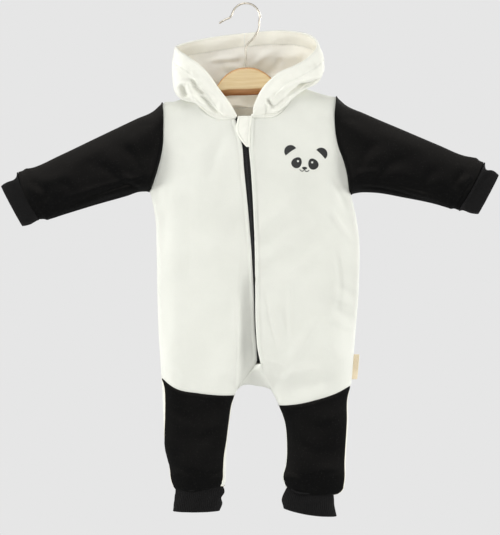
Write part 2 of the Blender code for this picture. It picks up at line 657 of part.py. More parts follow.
def add_sleeve(hand, things):
    """A black sleeve: rings from the armhole to the cuff, closed at the underarm."""
    front = things["front_right" if hand == RIGHT else "front_left"]
    back = things["back", hand]
    arm_row = len(ARM_ROWS)
    first = [front[: arm_row + 1, 0], back[: arm_row + 1, 0]]
    rows = SLEEVE[hand]
    share_down = np.array([0] + ARM_ROWS)
    straight = mix(first[0][0], first[0][-1], share_down[:, None])
    bow = (first[0] - straight)[:, [0, 2]]
    rings = []
    for s in SLEEVE_RINGS:
        at = lambda column: float(smooth(rows, "share", column, s))
        top, low = np.array([at("top_x"), -at("top_down")]), np.array([at("low_x"), -at("low_down")])
        place = mix(top, low, share_down[:, None]) + bow * (1 - s) ** 3 * (s < 0.5)
        height = np.linalg.norm(top - low)
        turns = mix(np.array([SHOULDER_TURN, UNDERARM_TURN]), 0.5 * height, min(1, s * 1.6))
        shut = turn(share_down * height / turns[0]) * turn((1 - share_down) * height / turns[1])
        halves = [points_of(place[:, 0], -place[:, 1], side * at(word) * shut)
                  for side, word in ((FRONT, "front"), (BACK, "back"))]
        rings.append(np.concatenate([halves[0][::-1], halves[1][1:]]))
    rings[0] = np.concatenate([first[0][::-1], first[1][1:]])
    rings[0][[0, -1]] = first[0][-1]
    points = np.stack(rings)
    points[:, -1] = points[:, 0]
    cuts = no_cuts(points)
    ways = square_to(first[0], (-hand, 0, 0))
    loop = np.concatenate([ways[::-1], ways[1:]])
    mark(cuts, (0, slice(None)), loop)
    end = points[-1]
    way = unit(np.array([hand * abs(end[arm_row, 2] - end[0, 2]), 0, 0.0]) + np.array(
        [0, 0, -hand * np.sign(end[arm_row, 2] - end[0, 2]) * (end[arm_row, 0] - end[0, 0])]))
    mark(cuts, (-1, slice(None)), way)
    name = "sleeve_right" if hand == RIGHT else "sleeve_left"
    Cloth(name, "black_knit", KNIT).add(points, cuts, flip=hand == LEFT).build()
    things[name] = (end[arm_row::-1], end[arm_row:], share_down, way)


def ring_point(line, shares, at):
    """Places along a line of points whose shares of its way are given."""
    return np.stack([np.interp(at, shares, line[:, k]) for k in range(3)], 1)


def add_cuff(name, front, back, front_shares, back_shares, way, flip):
    """A ribbed cuff, from the end of a sleeve or leg to its open end; every second point is raised."""
    rows = CUFFS[name]
    around = (1 - np.cos(np.linspace(0, math.pi, RIBS + 1))) / 2
    rings = [np.concatenate([ring_point(front, front_shares, around), ring_point(back, back_shares, around)[-2::-1]])]
    for i in range(1, len(rows["share"])):
        a = np.array([rows["a_x"][i], -rows["a_down"][i]])
        b = np.array([rows["b_x"][i], -rows["b_down"][i]])
        place = mix(a, b, around[:, None])
        place[:, 1] -= 4 * around * (1 - around) * mix(CUFF_TOP_SAG[name], CUFF_SAG[name], rows["share"][i])
        height = np.linalg.norm(a - b)
        shut = turn(around * height / (0.46 * height)) * turn((1 - around) * height / (0.46 * height))
        halves = [points_of(place[:, 0], -place[:, 1], side * rows["half"][i] * shut) for side in (FRONT, BACK)]
        rings.append(np.concatenate([halves[0], halves[1][-2::-1]]))
    points = np.stack(rings)
    points[:, -1] = points[:, 0]
    cuts = no_cuts(points)
    mark(cuts, (0, slice(None)), way(around))
    raised = np.tile(RIB_HEIGHT * (np.arange(2 * RIBS + 1) % 2), (len(rings), 1))
    raised[0] = 0
    raised[-1] *= 0.6
    Cloth(name, "black_rib", RIB_KNIT - RIB_HEIGHT).add(points, cuts, flip=flip, raised=raised).build()


def add_cuffs(things):
    for hand, word in ((RIGHT, "right"), (LEFT, "left")):
        front, back, shares, way = things[f"sleeve_{word}"]
        add_cuff(f"sleeve_cuff_{word}", front, back, shares, shares,
                 lambda at: np.tile(-way, (2 * len(at) - 1, 1)), hand == RIGHT)
        front, back = things[f"leg_front_{word}"][-1], things["back", hand][-1]
        if hand == LEFT:
            front, back = front[::-1], back[::-1]
        share_of = lambda line: (line[:, 0] - line[0, 0]) / (line[-1, 0] - line[0, 0])
        add_cuff(f"ankle_cuff_{word}", front, back, share_of(front), share_of(back),
                 lambda at: ankle_ways(at, hand), False)


def ankle_ways(at, hand):
    """Upward directions square to an ankle's seam, round the whole ring."""
    x = mix(ANKLE[hand]["x"][0], ANKLE[hand]["x"][-1], at)
    line = points_of(x, smooth(ANKLE[hand], "x", "down", x), 0 * x)
    ways = square_to(line, (0, 0, 1))
    return np.concatenate([ways, ways[-2::-1]])


def neck_place(share, things):
    """Places just above the neck seam, round from its right front end over the back to its left front end."""
    first, second = HOOD_POINTS
    x = np.interp(share, [0, first, second, 1], [HOOD_ENDS[0], NECK_POINT[RIGHT], NECK_POINT[LEFT], HOOD_ENDS[1]])
    lines = [things["neck", FRONT, RIGHT], things["neck", BACK], things["neck", FRONT, LEFT][::-1]]
    part = (share > first - 1e-6).astype(int) + (share > second + 1e-6)
    y, z = (np.choose(part, [np.interp(x, line[:, 0], line[:, k]) for line in lines]) for k in (1, 2))
    y = y - np.sign(np.round(y, 3))
    up = unit(points_of(-x, NECK_MIDDLE + z, 0 * x))
    return np.stack([x, y, z], 1) + NECK_CLEAR * up


def hood_grid(shares, steps, things):
    """The hood's outer surface: over every place of the neck seam a rib stands up, then curves out and
    back in to the face edge."""
    shares = np.asarray(shares, float)
    corner = {
        word: np.stack([smooth(HOOD, "share", f"{word}_x", shares), smooth(HOOD, "share", f"{word}_y", shares),
                        -smooth(HOOD, "share", f"{word}_down", shares)], 1) for word in ("low", "high", "edge")
    }
    t = np.asarray(steps, float)[:, None, None]
    rib = (
        (1 - t) ** 3 * neck_place(shares, things) + 3 * t * (1 - t) ** 2 * corner["low"]
        + 3 * t * t * (1 - t) * corner["high"] + t ** 3 * corner["edge"]
    )
    rise = NECK_STAND * (1 - np.exp(-t / 0.035)) * (1 - t) ** 2
    return rib + rise * np.array([0, 0, 1.0])


def add_hood(things):
    """The hood's two halves, joined down the middle of the back, and the lining inside each of them."""
    for hand, word in ((RIGHT, "right"), (LEFT, "left")):
        shares = np.array(HOOD_RIBS) if hand == RIGHT else 1 - np.array(HOOD_RIBS)
        points = hood_grid(shares, HOOD_STEPS, things)
        cuts = no_cuts(points)
        mark(cuts, (slice(None), -1), (-hand, 0, 0))
        Cloth(f"hood_{word}", "white_knit", KNIT).add(points, cuts, flip=hand == LEFT).build()
        cloth = Cloth(f"hood_lining_{word}", "lining", LINING)
        normals = point_normals(points.reshape(-1, 3), patch_quads(*points.shape[:2], hand == LEFT).tolist())
        lined = points - (KNIT + LAYER_GAP) * normals.reshape(points.shape)
        lined[:, -1, 0] = points[:, -1, 0]
        lined = lined[1:-1, 2:]
        cloth.add(lined, cuts[1:-1, 2:], flip=hand == LEFT).build()


def add_zip():
    """Both tapes and the closed chain as one strip, behind the edges of the fronts."""
    downs = np.concatenate([np.linspace(166, 330, 6), np.linspace(355, 498, 7)])
    edges = [smooth(CENTRE[h], "down", "x", downs) + h * TAPE_UNDER for h in (RIGHT, LEFT)]
    x = np.stack([mix(edges[0], edges[1], s) for s in np.linspace(0, 1, 5)], 1)
    down = np.repeat(downs[:, None], 5, 1)
    points = points_of(x, down, tape_y(x, down))
    Cloth("zip", "zip_tape", TAPE).add(points).build()


def tape_y(x, down):
    """The tapes' outer face, clear behind both fronts however deep the fold beside the zip is."""
    dip = smooth(FOLD, "down", "dip", down)
    shut = body_y(x, down, FRONT) / -smooth(DEPTH, "down", "front", down)
    return body_y(x, down, FRONT) + dip * shut + KNIT + 3 * LAYER_GAP


def add_guard():
    """The chin guard, a leaf of cloth over the top of the zip."""
    downs = np.array(GUARD_ROWS)
    left, right = (smooth(GUARD_SHAPE, "down", word, downs) for word in ("left", "right"))
    x = np.stack([mix(left, right, s) for s in np.linspace(0, 1, 6)], 1)
    down = np.repeat(downs[:, None], 6, 1)
    points = points_of(x, down, body_y(x, np.maximum(down, 159), FRONT) - GUARD_CLEAR - GUARD)
    Cloth("chin_guard", "white_knit", GUARD).add(points).build()


def add_label():
    """The bare label that stands out of the left side seam."""
    downs = np.linspace(LABEL_TOP, LABEL_LOW, 6)
    x = np.stack([outer_x(downs, LEFT) + s for s in (0.5, 0.5 * LABEL_OUT, LABEL_OUT)], 1)
    down = np.repeat(downs[:, None], 3, 1)
    points = points_of(x, down, np.full(x.shape, -LABEL / 2))
    Cloth("side_label", "label", LABEL).add(points, flip=False).build()


def add_lofted(name, rings, material):
    """A solid through closed rings of points, shut at both ends."""
    rings = np.array(rings, float)
    count, size = rings.shape[:2]
    index = np.arange(count * size).reshape(count, size)
    beside = np.roll(index, -1, 1)
    faces = np.stack([index[:-1], beside[:-1], beside[1:], index[1:]], -1).reshape(-1, 4).tolist()
    faces += [index[0, ::-1].tolist(), index[-1].tolist()]
    thing = add_object(name, rings.reshape(-1, 3), faces, material)
    shape = bmesh.new()
    shape.from_mesh(thing.data)
    bmesh.ops.recalc_face_normals(shape, faces=shape.faces[:])
    shape.to_mesh(thing.data)
    shape.free()
    return thing


def add_slider():
    """The zip's slider and, below it, the pull that lies down on the tape."""
    mid = float(smooth(CENTRE[RIGHT], "down", "x", SLIDER_DOWN) + smooth(CENTRE[LEFT], "down", "x", SLIDER_DOWN)) / 2
    wide, low = SLIDER_WIDTH / 2, SLIDER_LENGTH
    sections = [
        (0.0, 0.75 * wide, SLIDER_HEIGHT * 0.7), (0.18 * low, wide, SLIDER_HEIGHT), (0.7 * low, 0.9 * wide, SLIDER_HEIGHT),
        (low, 0.55 * wide, PULL_HEIGHT), (low + 0.8 * PULL_LENGTH, PULL_WIDTH / 2, PULL_HEIGHT),
        (low + PULL_LENGTH, 0.35 * PULL_WIDTH, PULL_HEIGHT * 0.8),
    ]
    rings = []
    for d, w, h in sections:
        back = float(tape_y(np.array(mid), np.array(SLIDER_DOWN + d))) - LAYER_GAP
        rings.append([(mid + a * w, back - b * h, -SLIDER_DOWN - d) for a, b in ((-1, 0), (1, 0), (1, 1), (-1, 1))])
    add_lofted("zip_slider", rings, "steel")


def add_hanger():
    """The wooden hanger: a rounded section carried along its top and bottom edges."""
    xs = np.array(HANGER_STATIONS)
    top, low = smooth(HANGER_TOP, "x", "down", xs), smooth(HANGER_LOW, "x", "down", xs)
    half = HANGER_THICK / 2
    rings = []
    for x, up, down in zip(xs, top, low):
        r = min(HANGER_EDGE, half - 0.5, (down - up) / 2.2)
        corners = [(-half + r, up + r, 180), (-half + r, down - r, 90), (half - r, down - r, 0), (half - r, up + r, 270)]
        ring = []
        for y, z, start in corners:
            for step in (0, -45, -90):
                a = math.radians(start + step)
                ring.append((x, y + r * math.cos(a), -(z + r * math.sin(a))))
        rings.append(ring)
    add_lofted("hanger", rings, "wood")


def add_hook():
    """The steel hook: a wire up from the hanger, bent aside and round into the open crook."""
    foot = float(smooth(HANGER_TOP, "x", "down", STEM_X)) - 0.45
    path = [(STEM_X, foot), (STEM_X, mix(foot, STEM_TOP, 0.5)), (STEM_X, STEM_TOP)]
    path += list(zip(HOOK_BEND["x"], HOOK_BEND["down"]))
    for angle in np.linspace(CROOK_FROM, CROOK_TO, 13):
        a = math.radians(angle)
        path.append((CROOK_RADIUS * math.cos(a), CROOK_DOWN - CROOK_RADIUS * math.sin(a)))
    path += list(zip(HOOK_TIP["x"], HOOK_TIP["down"]))
    path = np.array(path)
    length = np.concatenate([[0], np.cumsum(np.linalg.norm(np.diff(path, axis=0), axis=1))])
    at = np.linspace(0, length[-1], 36)
    path = np.stack([smooth({"s": length, "v": path[:, k]}, "s", "v", at) for k in range(2)], 1)
    along = unit(np.gradient(path, axis=0))
    rings = []
    for (x, down), (dx, dd) in zip(path, along):
        ring = []
        for k in range(10):
            a = 2 * math.pi * k / 10
            side = WIRE / 2 * math.cos(a)
            ring.append((x + dd * side, WIRE / 2 * math.sin(a), -(down - dx * side)))
        rings.append(ring)
    add_lofted("hook", rings, "steel")


def main():
    for thing in list(bpy.data.objects):
        bpy.data.objects.remove(thing)
    things = {}
    for hand in (RIGHT, LEFT):
        add_front(hand, things)
        add_leg_front(hand, things)
    add_back(things)
    add_gusset(things)
    for hand in (RIGHT, LEFT):
        add_sleeve(hand, things)
    add_cuffs(things)
    add_hood(things)
    add_zip()
    add_guard()
    add_label()
    add_slider()
    add_hanger()
    add_hook()


main()
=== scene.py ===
"""The looks of a baby's hooded panda onesie on its wooden hanger: cloth, seams, zip, print, label and wood.

Lengths are in millimetres until a mesh is made. "down" is the distance below the place where the hook rests,
"x" runs to the wearer's left and "y" to the back. Cloth is worked out as grids of points from sections,
pressed into folds by listed creases, and sewn into thin closed shells.
"""

import math

import bpy
import numpy as np
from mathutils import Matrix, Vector


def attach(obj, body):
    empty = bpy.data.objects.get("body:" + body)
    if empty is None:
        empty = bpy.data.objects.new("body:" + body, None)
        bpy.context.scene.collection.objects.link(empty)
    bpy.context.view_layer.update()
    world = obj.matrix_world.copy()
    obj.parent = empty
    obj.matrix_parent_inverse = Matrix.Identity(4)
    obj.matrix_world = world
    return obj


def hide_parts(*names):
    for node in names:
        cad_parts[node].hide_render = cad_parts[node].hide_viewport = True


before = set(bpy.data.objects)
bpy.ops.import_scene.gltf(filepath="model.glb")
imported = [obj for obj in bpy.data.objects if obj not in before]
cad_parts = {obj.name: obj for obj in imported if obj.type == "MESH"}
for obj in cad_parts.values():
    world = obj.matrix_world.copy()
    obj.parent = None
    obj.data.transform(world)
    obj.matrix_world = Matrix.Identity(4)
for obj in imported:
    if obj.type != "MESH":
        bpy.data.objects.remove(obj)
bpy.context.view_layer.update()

MM = 0.001
RIGHT, LEFT = -1, 1
HANDS = ((RIGHT, "right"), (LEFT, "left"))
FRONT, BACK = -1, 1

# Thicknesses of the cloths, and the gap between two layers.
KNIT = 1.6
HEM = 3.0
RIB_KNIT = 1.8
LINING = 0.8
GUARD = 1.9
TAPE = 0.8
LABEL = 0.7
LAYER_GAP = 0.35


def table(names, *rows):
    """Rows of numbers under named columns."""
    return dict(zip(names.split(), np.array(rows, float).T))


def creases(*rows):
    """A table of creases: both ends of each, how far it bows aside, its width and its depth."""
    return table("x0 down0 x1 down1 bow width depth", *rows)


# The body's outline, seen from the front: the armhole seams, then the side seams down to the ankles.
ARMHOLE = {
    RIGHT: table("down x", (138, -115.1), (166, -114.6), (205, -118.1), (235, -125.7), (259, -134.0)),
    LEFT: table("down x", (129.5, 124.9), (160, 123.6), (197, 129.3), (218, 137.2), (232, 141.1), (263, 145.7)),
}
SIDE = {
    RIGHT: table(
        "down x", (259, -134.0), (280, -129.2), (298, -126.1), (342, -124.3), (410, -123.1), (465, -121.1),
        (510, -118.1), (530, -116.7), (578, -114.6), (618, -112.0), (641, -106.9), (667, -102.9), (675, -99.0),
    ),
    LEFT: table(
        "down x", (263, 145.7), (290, 152.3), (331, 157.9), (349, 158.4), (384, 157.4), (410, 156.5),
        (445, 153.4), (498, 149.3), (524, 147.0), (549, 142.2), (576, 142.6), (635, 139.1), (668, 137.4),
        (676, 135.2), (681, 129.0), (683, 123.4),
    ),
}
# The inner edges of the legs, from the ends of the gusset down to the ankles.
INSEAM = {
    RIGHT: table(
        "down x", (536, -12.0), (544, -15.4), (580, -22.5), (618, -26.6), (647, -27.6), (667, -28.6), (675, -30.5),
    ),
    LEFT: table(
        "down x", (536, 34.6), (544.5, 39.5), (558, 45.6), (578, 52.8), (610, 56.1), (641, 54.7), (659, 51.0),
        (672, 55.5),
    ),
}
# The lowest line of the crotch, between the two ends of the gusset.
CROTCH = table("x down", (-12, 536), (-6, 531.2), (2, 529.2), (15.6, 531), (26, 532.6), (34.6, 536))

# The ridge of the shoulders, carried on over the neck, where nothing of it is left.
SHOULDER = table(
    "x down", (-115.1, 138), (-111, 136.4), (-99, 135.4), (-90, 131.9), (-75.6, 126.5), (-40, 112), (0, 103),
    (40, 103.5), (75, 114.5), (95.4, 122), (114.9, 127.6), (124.9, 129.5),
)
NECK_POINT = {RIGHT: -75.6, LEFT: 75.0}
FRONT_NECK = {
    RIGHT: table(
        "x down", (-75.6, 126.5), (-73.1, 130.3), (-67.5, 138.6), (-56.4, 151), (-42.6, 160), (-28.7, 162.2),
        (-12.8, 159.4),
    ),
    LEFT: table(
        "x down", (6.6, 158.7), (22.6, 159), (38, 158), (47.5, 152.6), (57.2, 141.4), (64.2, 130.3), (69.7, 122),
        (75, 114.5),
    ),
}
BACK_NECK = table("x down", (-75.6, 126.5), (-62, 135.5), (-38, 142), (0, 144), (38, 140), (62, 128), (75, 114.5))

# The centre edges of the fronts. The right one turns out along the gusset's seam below the zip's end.
FORK = 536.0
CENTRE = {
    RIGHT: table(
        "down x", (159.4, -15.6), (192.7, -6.5), (231.5, -3.0), (273, 1.2), (342, 7.1), (398, 10.4), (453, 12.2),
        (484, 14.6), (500, 13.6), (512, 5.0), (525, -5.0), (536, -12.0),
    ),
    LEFT: table(
        "down x", (158.7, 6.6), (176, 5.4), (199.6, 4.8), (231.5, 7.5), (273, 10.1), (342, 12.8), (398, 13.5),
        (453, 14.5), (481, 17.0), (500, 21.5), (515.6, 27.2), (536, 34.6),
    ),
}

# Lines down the back, one on each side of the crotch, and lines across the fronts above the leg seams.
SPLIT = {
    RIGHT: table("down x", (100, -34), (300, -28), (430, -18), (536, -12)),
    LEFT: table("down x", (100, 38), (300, 38), (430, 36), (536, 34.6)),
}
ZIP_ROW = {RIGHT: table("x down", (-124, 468), (16, 500.8)), LEFT: table("x down", (19, 500.8), (154, 474))}
FORK_ROW = {RIGHT: table("x down", (-119, 500), (-12, 536)), LEFT: table("x down", (34.6, 536), (149, 506))}

# The seams where the white fronts meet the black leg panels, and those where the legs meet the cuffs.
LEG_SEAM = {
    RIGHT: table("x down", (-117, 520), (-104, 530), (-65, 540.2), (-39, 543.2), (-15.4, 544)),
    LEFT: table("x down", (45.6, 558), (57, 557.4), (97.4, 549.5), (128, 539.4), (144.5, 531)),
}
ANKLE = {
    RIGHT: table("x down", (-99, 675), (-72, 677.4), (-50, 673.2), (-30.5, 669.5)),
    LEFT: table("x down", (55.5, 672), (70, 679.4), (90, 682), (123.4, 683)),
}

# How far the front and back stand from the middle, and how wide the turn at the edges is.
DEPTH = table(
    "down front back turn", (100, 20, 12, 30), (150, 23, 14, 32), (200, 25, 16, 34), (300, 26, 17, 34),
    (420, 26, 17, 34), (500, 25.5, 17, 36), (560, 23, 17, 39), (620, 21, 16.5, 38), (660, 19, 15.5, 34),
    (676, 15, 13, 32), (685, 13.5, 12, 30),
)
SHOULDER_TURN = 26.0
UNDERARM_TURN = 19.0

# The fold beside the zip: the right front bends back to the zip, from its fold line on.
FOLD = table(
    "down x dip", (300, -4, 0), (350, -8, 1), (400, -10.5, 5.5), (450, -12, 10), (500, -12.5, 11.6), (545, -13, 9),
)
# How far a front bows back towards its side: from which distance, and how strongly; then where the bow
# sets in below the chest and where it ends.
BOW = {RIGHT: (30, 0.0013), LEFT: (66, 0.0017)}
BOW_START, BOW_END = (160, 230), (430, 520)

# The sleeves: their top and bottom edges from armhole to cuff, and their half depths.
SLEEVE = {
    RIGHT: table(
        "share top_x top_down low_x low_down front back", (0, -115.1, 138, -134, 259, 24, 16),
        (0.07, -126.4, 149.1, -146.6, 259, 22, 16), (0.2, -152, 161.2, -166, 265, 20, 16),
        (0.45, -205, 186.4, -210, 277.5, 18, 15.5), (0.7, -257.4, 211.5, -252, 290.4, 16.5, 15),
        (0.88, -295.5, 228.6, -277, 298, 15.5, 14.5), (0.96, -310.6, 231.6, -284.5, 298.4, 16, 14.6),
        (1, -315.6, 234.2, -287.2, 297.8, 15.2, 13.8),
    ),
    LEFT: table(
        "share top_x top_down low_x low_down front back", (0, 124.9, 129.5, 145.7, 263, 24, 16),
        (0.07, 137.2, 141, 156, 260.5, 22, 16), (0.2, 165, 153.8, 178, 260.3, 20, 16),
        (0.45, 215, 175.1, 222, 267.5, 18, 15.5), (0.7, 268, 197.6, 262, 275.8, 16.5, 15),
        (0.88, 304, 212.4, 288, 283.4, 15.5, 14.5), (0.96, 322.4, 216.4, 294.5, 285, 16, 14.6),
        (1, 330, 220.6, 296, 285, 15.2, 13.8),
    ),
}
# The cuffs: the ends of each ring, seen from the front, and its half depth.
CUFFS = {
    "sleeve_cuff_right": table(
        "share a_x a_down b_x b_down half", (0, -313.6, 240.5, -287.6, 295.6, 12), (0.35, -322.5, 246, -295, 301, 13),
        (0.7, -331, 249.5, -302, 305, 14), (1, -339.2, 253.8, -310.5, 307.4, 14),
    ),
    "sleeve_cuff_left": table(
        "share a_x a_down b_x b_down half", (0, 328, 229.5, 299.5, 282.4, 12), (0.35, 335.5, 232.4, 306, 285.6, 13),
        (0.7, 343, 233.5, 314, 289, 14), (1, 350.5, 238.4, 322.9, 290.6, 14),
    ),
    "ankle_cuff_right": table(
        "share a_x a_down b_x b_down half", (0, -99, 675, -31.6, 670, 14), (0.14, -98.5, 679.5, -29.4, 674.5, 15),
        (0.30, -98.7, 684, -29.8, 680, 15), (0.46, -98.8, 688, -33.8, 686, 15.5),
        (0.7, -100.2, 696, -32.8, 694, 15.5), (1, -100.8, 704.5, -36.8, 704, 15),
    ),
    "ankle_cuff_left": table(
        "share a_x a_down b_x b_down half", (0, 55.5, 672, 123.4, 683, 14), (0.3, 52.6, 681.5, 123.0, 690, 15.5),
        (0.65, 50.2, 690.5, 123.4, 699, 15.5), (1, 53, 701, 125.8, 711.5, 15),
    ),
}
# How far the middle of each cuff's first and last ring hangs below the straight line between its ends.
CUFF_SAG = {
    "sleeve_cuff_right": (0.0, 0.0), "sleeve_cuff_left": (0.0, 0.0), "ankle_cuff_right": (3.5, 1.0),
    "ankle_cuff_left": (3.5, 3.0),
}
# How far the middle of each sleeve's end reaches beyond its two corners.
END_REACH = {RIGHT: 4.6, LEFT: 1.4}

# The hood's ribs, from the right end of the neck seam round the back to the left end. Each rib is a curve
# from the neck seam to the face edge: "low" and "high" pull it out on the way, "edge" is where it ends.
HOOD = table(
    "share low_x low_y low_down high_x high_y high_down edge_x edge_y edge_down",
    (0.00, -14.8, -27, 158.4, -14, -28, 157, -13.2, -27.5, 155.6),
    (0.05, -25, -29, 151, -26, -32, 145, -23.0, -30.5, 139),
    (0.10, -38, -31, 143, -42, -37, 132, -37.0, -33, 120.6),
    (0.16, -55, -34, 136, -64, -41, 118, -49.5, -34.5, 102.6),
    (0.22, -80, -36, 138, -88, -41, 102, -63.3, -33, 88.0),
    (0.28, -106, -34, 148, -108, -34, 92, -79.0, -27, 76.0),
    (0.33, -111, -8, 128, -105, -12, 82, -96.5, -12, 62.5),
    (0.38, -100, 46, 140, -101, 10, 76, -92.0, 6, 56.0),
    (0.44, -60, 72, 168, -60, 14, 74, -52.0, 18, 46.2),
    (0.50, 0, 82, 180, 0, 16, 70, -2.0, 22, 39.6),
    (0.56, 60, 72, 164, 58, 14, 66, 50.0, 19, 36.0),
    (0.62, 102, 46, 132, 103, 10, 68, 90.5, 6, 43.0),
    (0.67, 119, -8, 112, 112, -12, 78, 100.0, -10, 58.5),
    (0.72, 111, -34, 124, 113, -36, 90, 87.0, -26, 76.0),
    (0.78, 84, -35, 120, 92, -41, 92, 67.2, -33, 88.0),
    (0.84, 60, -34, 130, 66, -41, 108, 45.2, -34.5, 98.5),
    (0.90, 39, -31, 141, 42, -37, 126, 23.0, -33, 120.0),
    (0.95, 20, -29, 150, 21, -31, 142, 12.8, -29.5, 141.0),
    (1.00, 8.8, -27, 157, 9.2, -28, 155.2, 9.8, -27.5, 153.4),
)
# The neck seam: its shares at the two neck points, the x of its two front ends, its middle, the gap over it,
# and how far the hood stands up from it.
HOOD_POINTS, HOOD_ENDS = (0.31, 0.69), (-14.8, 8.6)
NECK_MIDDLE, NECK_CLEAR, NECK_STAND = 95.0, 0.7, 5.0
# The shares of the ribs of one half, and of the steps up every rib.
HOOD_RIBS = [
    0, 0.04, 0.08, 0.12, 0.16, 0.20, 0.24, 0.272, 0.292, 0.302, 0.31, 0.32, 0.34, 0.37, 0.40, 0.435, 0.47, 0.5,
]
HOOD_STEPS = [0, 0.03, 0.08, 0.15, 0.24, 0.35, 0.47, 0.59, 0.71, 0.82, 0.92, 1]
# The turned-in hem at the face: how wide it is, and how far in it is stitched down. How far the lining
# stands off behind it.
HEM_WIDTH, HEM_STITCH, LINING_STAND = 20.0, 17.6, 2.8
# The other rows of stitches, by their distances from the neck, leg and armhole seams.
NECK_STITCHES, LEG_STITCH, ARMHOLE_STITCH = (1.2, 4.4), 2.4, 2.6
STITCH_RADIUS = 0.26

# The chin guard over the top of the zip: the wearer's right edge is a long bow, the other one nearly
# straight. Then how far it stands off the fronts, which it follows from GUARD_FROM down, and its stitches.
GUARD_SHAPE = table(
    "down left right", (157.6, -10.0, 7.4), (166, -11.6, 6.4), (173, -12.8, 5.4), (184, -9.6, 4.9),
    (192.7, -4.2, 4.6), (199, 1.6, 4.6),
)
GUARD_CLEAR, GUARD_FROM, GUARD_STITCH = 3.1, 159, 2.4

# The wooden hanger: its top and bottom edges, its thickness, its two ends with the length over which each
# is rounded off, and the radius of the rounding along its top.
HANGER_TOP = table(
    "x down", (-112, 141.8), (-99, 138.5), (-88, 134.9), (-75.6, 130.8), (-62, 126.5), (-50, 122.2), (-43, 116.5),
    (-38.5, 111), (-34, 105), (-25, 96.4), (-13, 90.2), (0, 88.2), (13, 89.2), (25, 94.4), (34.5, 101.8),
    (39.5, 106.6), (45, 110.6), (52, 113.6), (62, 115.6), (75, 120.3), (90, 125.3), (106, 130.5), (120, 135.3),
)
HANGER_LOW = table(
    "x down", (-112, 155), (-90, 149.5), (-60, 138.5), (-40, 130.2), (-25, 127.6), (0, 126.8), (25, 126),
    (42, 127.6), (60, 134.5), (90, 143), (120, 147),
)
HANGER_THICK, HANGER_ENDS, HANGER_TIP, HANGER_ROUND = 12.0, (-112.0, 120.0), 8, 3.8

# The steel hook: its wire, its stem, the bend over the stem, the crook from one angle to another, its tip.
HOOK_WIRE = 2.7
STEM_X, STEM_TOP = 0.6, 58.0
HOOK_BEND = table("x down", (3.0, 54.6), (9.4, 48.6), (15.0, 40.8), (18.4, 31.5))
CROOK_RADIUS, CROOK_DOWN, CROOK_FROM, CROOK_TO = 19.5, 18.0, -18.0, 158.0
HOOK_TIP = table("x down", (-21.5, 18), (-28.4, 21.2), (-37.4, 26.6))

# The zip: how far its tapes run under the fronts and lie behind them, how far the fronts' folded edges swell
# beside it, where the folds end and how far in they are stitched, its tapes and its chain from top to bottom,
# the pitch of the chain, and the length of its turns with their half width and half height.
TAPE_UNDER, TAPE_BEHIND = 6.0, 1.8
ZIP_ROLL = {RIGHT: 0.5, LEFT: 1.0}
ZIP_END, ZIP_STITCH = (488, 500), 5.4
TAPE_SPAN, CHAIN_SPAN, COIL_PITCH, COIL_SIZE = (158.6, 498), (180, 497), 1.45, (4.6, 0.66, 0.75)
# The slider with its pull lying down: each part's rings, by their distance below the slider's top, width,
# height and standing off the tape, then how square its section is.
SLIDER_DOWN = 171.0
SLIDER_PARTS = (
    (((0, 0, 0, 1.2), (0.1, 4.6, 1.2, 1.2), (0.6, 6.4, 1.7, 1.2), (2, 7.4, 2.0, 1.2), (5, 7.2, 2.0, 1.2),
      (7.6, 6.0, 1.9, 1.2), (8.7, 4.6, 1.5, 1.2), (9, 0, 0, 1.2)), 0.5),
    (((1.4, 0, 0, 1.9), (1.5, 1.6, 0.8, 1.9), (3, 1.9, 0.9, 2.2), (6, 1.9, 0.9, 2.2), (7.5, 1.6, 0.8, 1.9),
      (7.6, 0, 0, 1.9)), 0.6),
    (((6.2, 0, 0, 2.0), (6.3, 2.2, 0.8, 2.0), (8, 3.0, 1.0, 1.9), (11, 2.6, 1.0, 1.4), (16, 4.0, 1.1, 0.9),
      (21, 4.0, 1.1, 0.8), (23.4, 2.8, 1.0, 0.8), (24, 0, 0, 0.8)), 0.55),
)

# The bare side label: its top and bottom, and how far it stands out of the seam.
LABEL_TOP, LABEL_LOW, LABEL_OUT = 487.3, 521.5, 7.4

# The gusset's middle lies back by this share of its depth. The back comes round the legs from WRAP_FROM down.
GUSSET_LEAN, WRAP_FROM = 0.34, 512

# How finely the cloth's grids are drawn: columns, and rows from each crossing line to the next.
FRONT_COLUMNS, FRONT_ROWS = 72, (44, 60, 16, 8)
BACK_COLUMNS, BACK_ROWS, PATCH_COLUMNS, WRAP_COLUMNS = 54, (40, 60, 64), 24, 8
LEG_COLUMNS, LEG_ROWS = 60, 72
GUSSET_COLUMNS, GUSSET_ROWS = 36, 40
SLEEVE_COLUMNS, SLEEVE_ROWS = 60, 96
CUFF_ROWS, ANKLE_COLUMNS, RIB_COUNT, RIB_COLUMNS = 30, 90, 62, 6
RIB_TIMES, STEP_TIMES, LINING_ROWS = 9, 8, 90
TAPE_COLUMNS, TAPE_ROWS = 41, 154
GUARD_COLUMNS, GUARD_ROWS = 30, 60
LABEL_COLUMNS, LABEL_ROWS = 16, 50
FOLD_POINTS, HOOK_POINTS, RING_POINTS = 90, 200, 33

# The print: its middle on the left front, how far it leans, and the film's height.
PRINT_X, PRINT_DOWN, PRINT_TILT, PRINT_HEIGHT = 82.1, 218.6, 0.085, 0.22
PRINT_SIZE, GLINT_LIFT = 1.03, 0.18
# The film's section from its middle over its edge and back under it: shares of its radius, and of its height.
FILM_SHARES = np.array([0.001, 0.25, 0.5, 0.75, 0.9, 0.97, 1.0, 0.97, 0.75, 0.4, 0.001])
FILM_HEIGHTS = np.array([1, 1, 1, 1, 1, 0.9, 0.2, -1, -1, -1, -1])

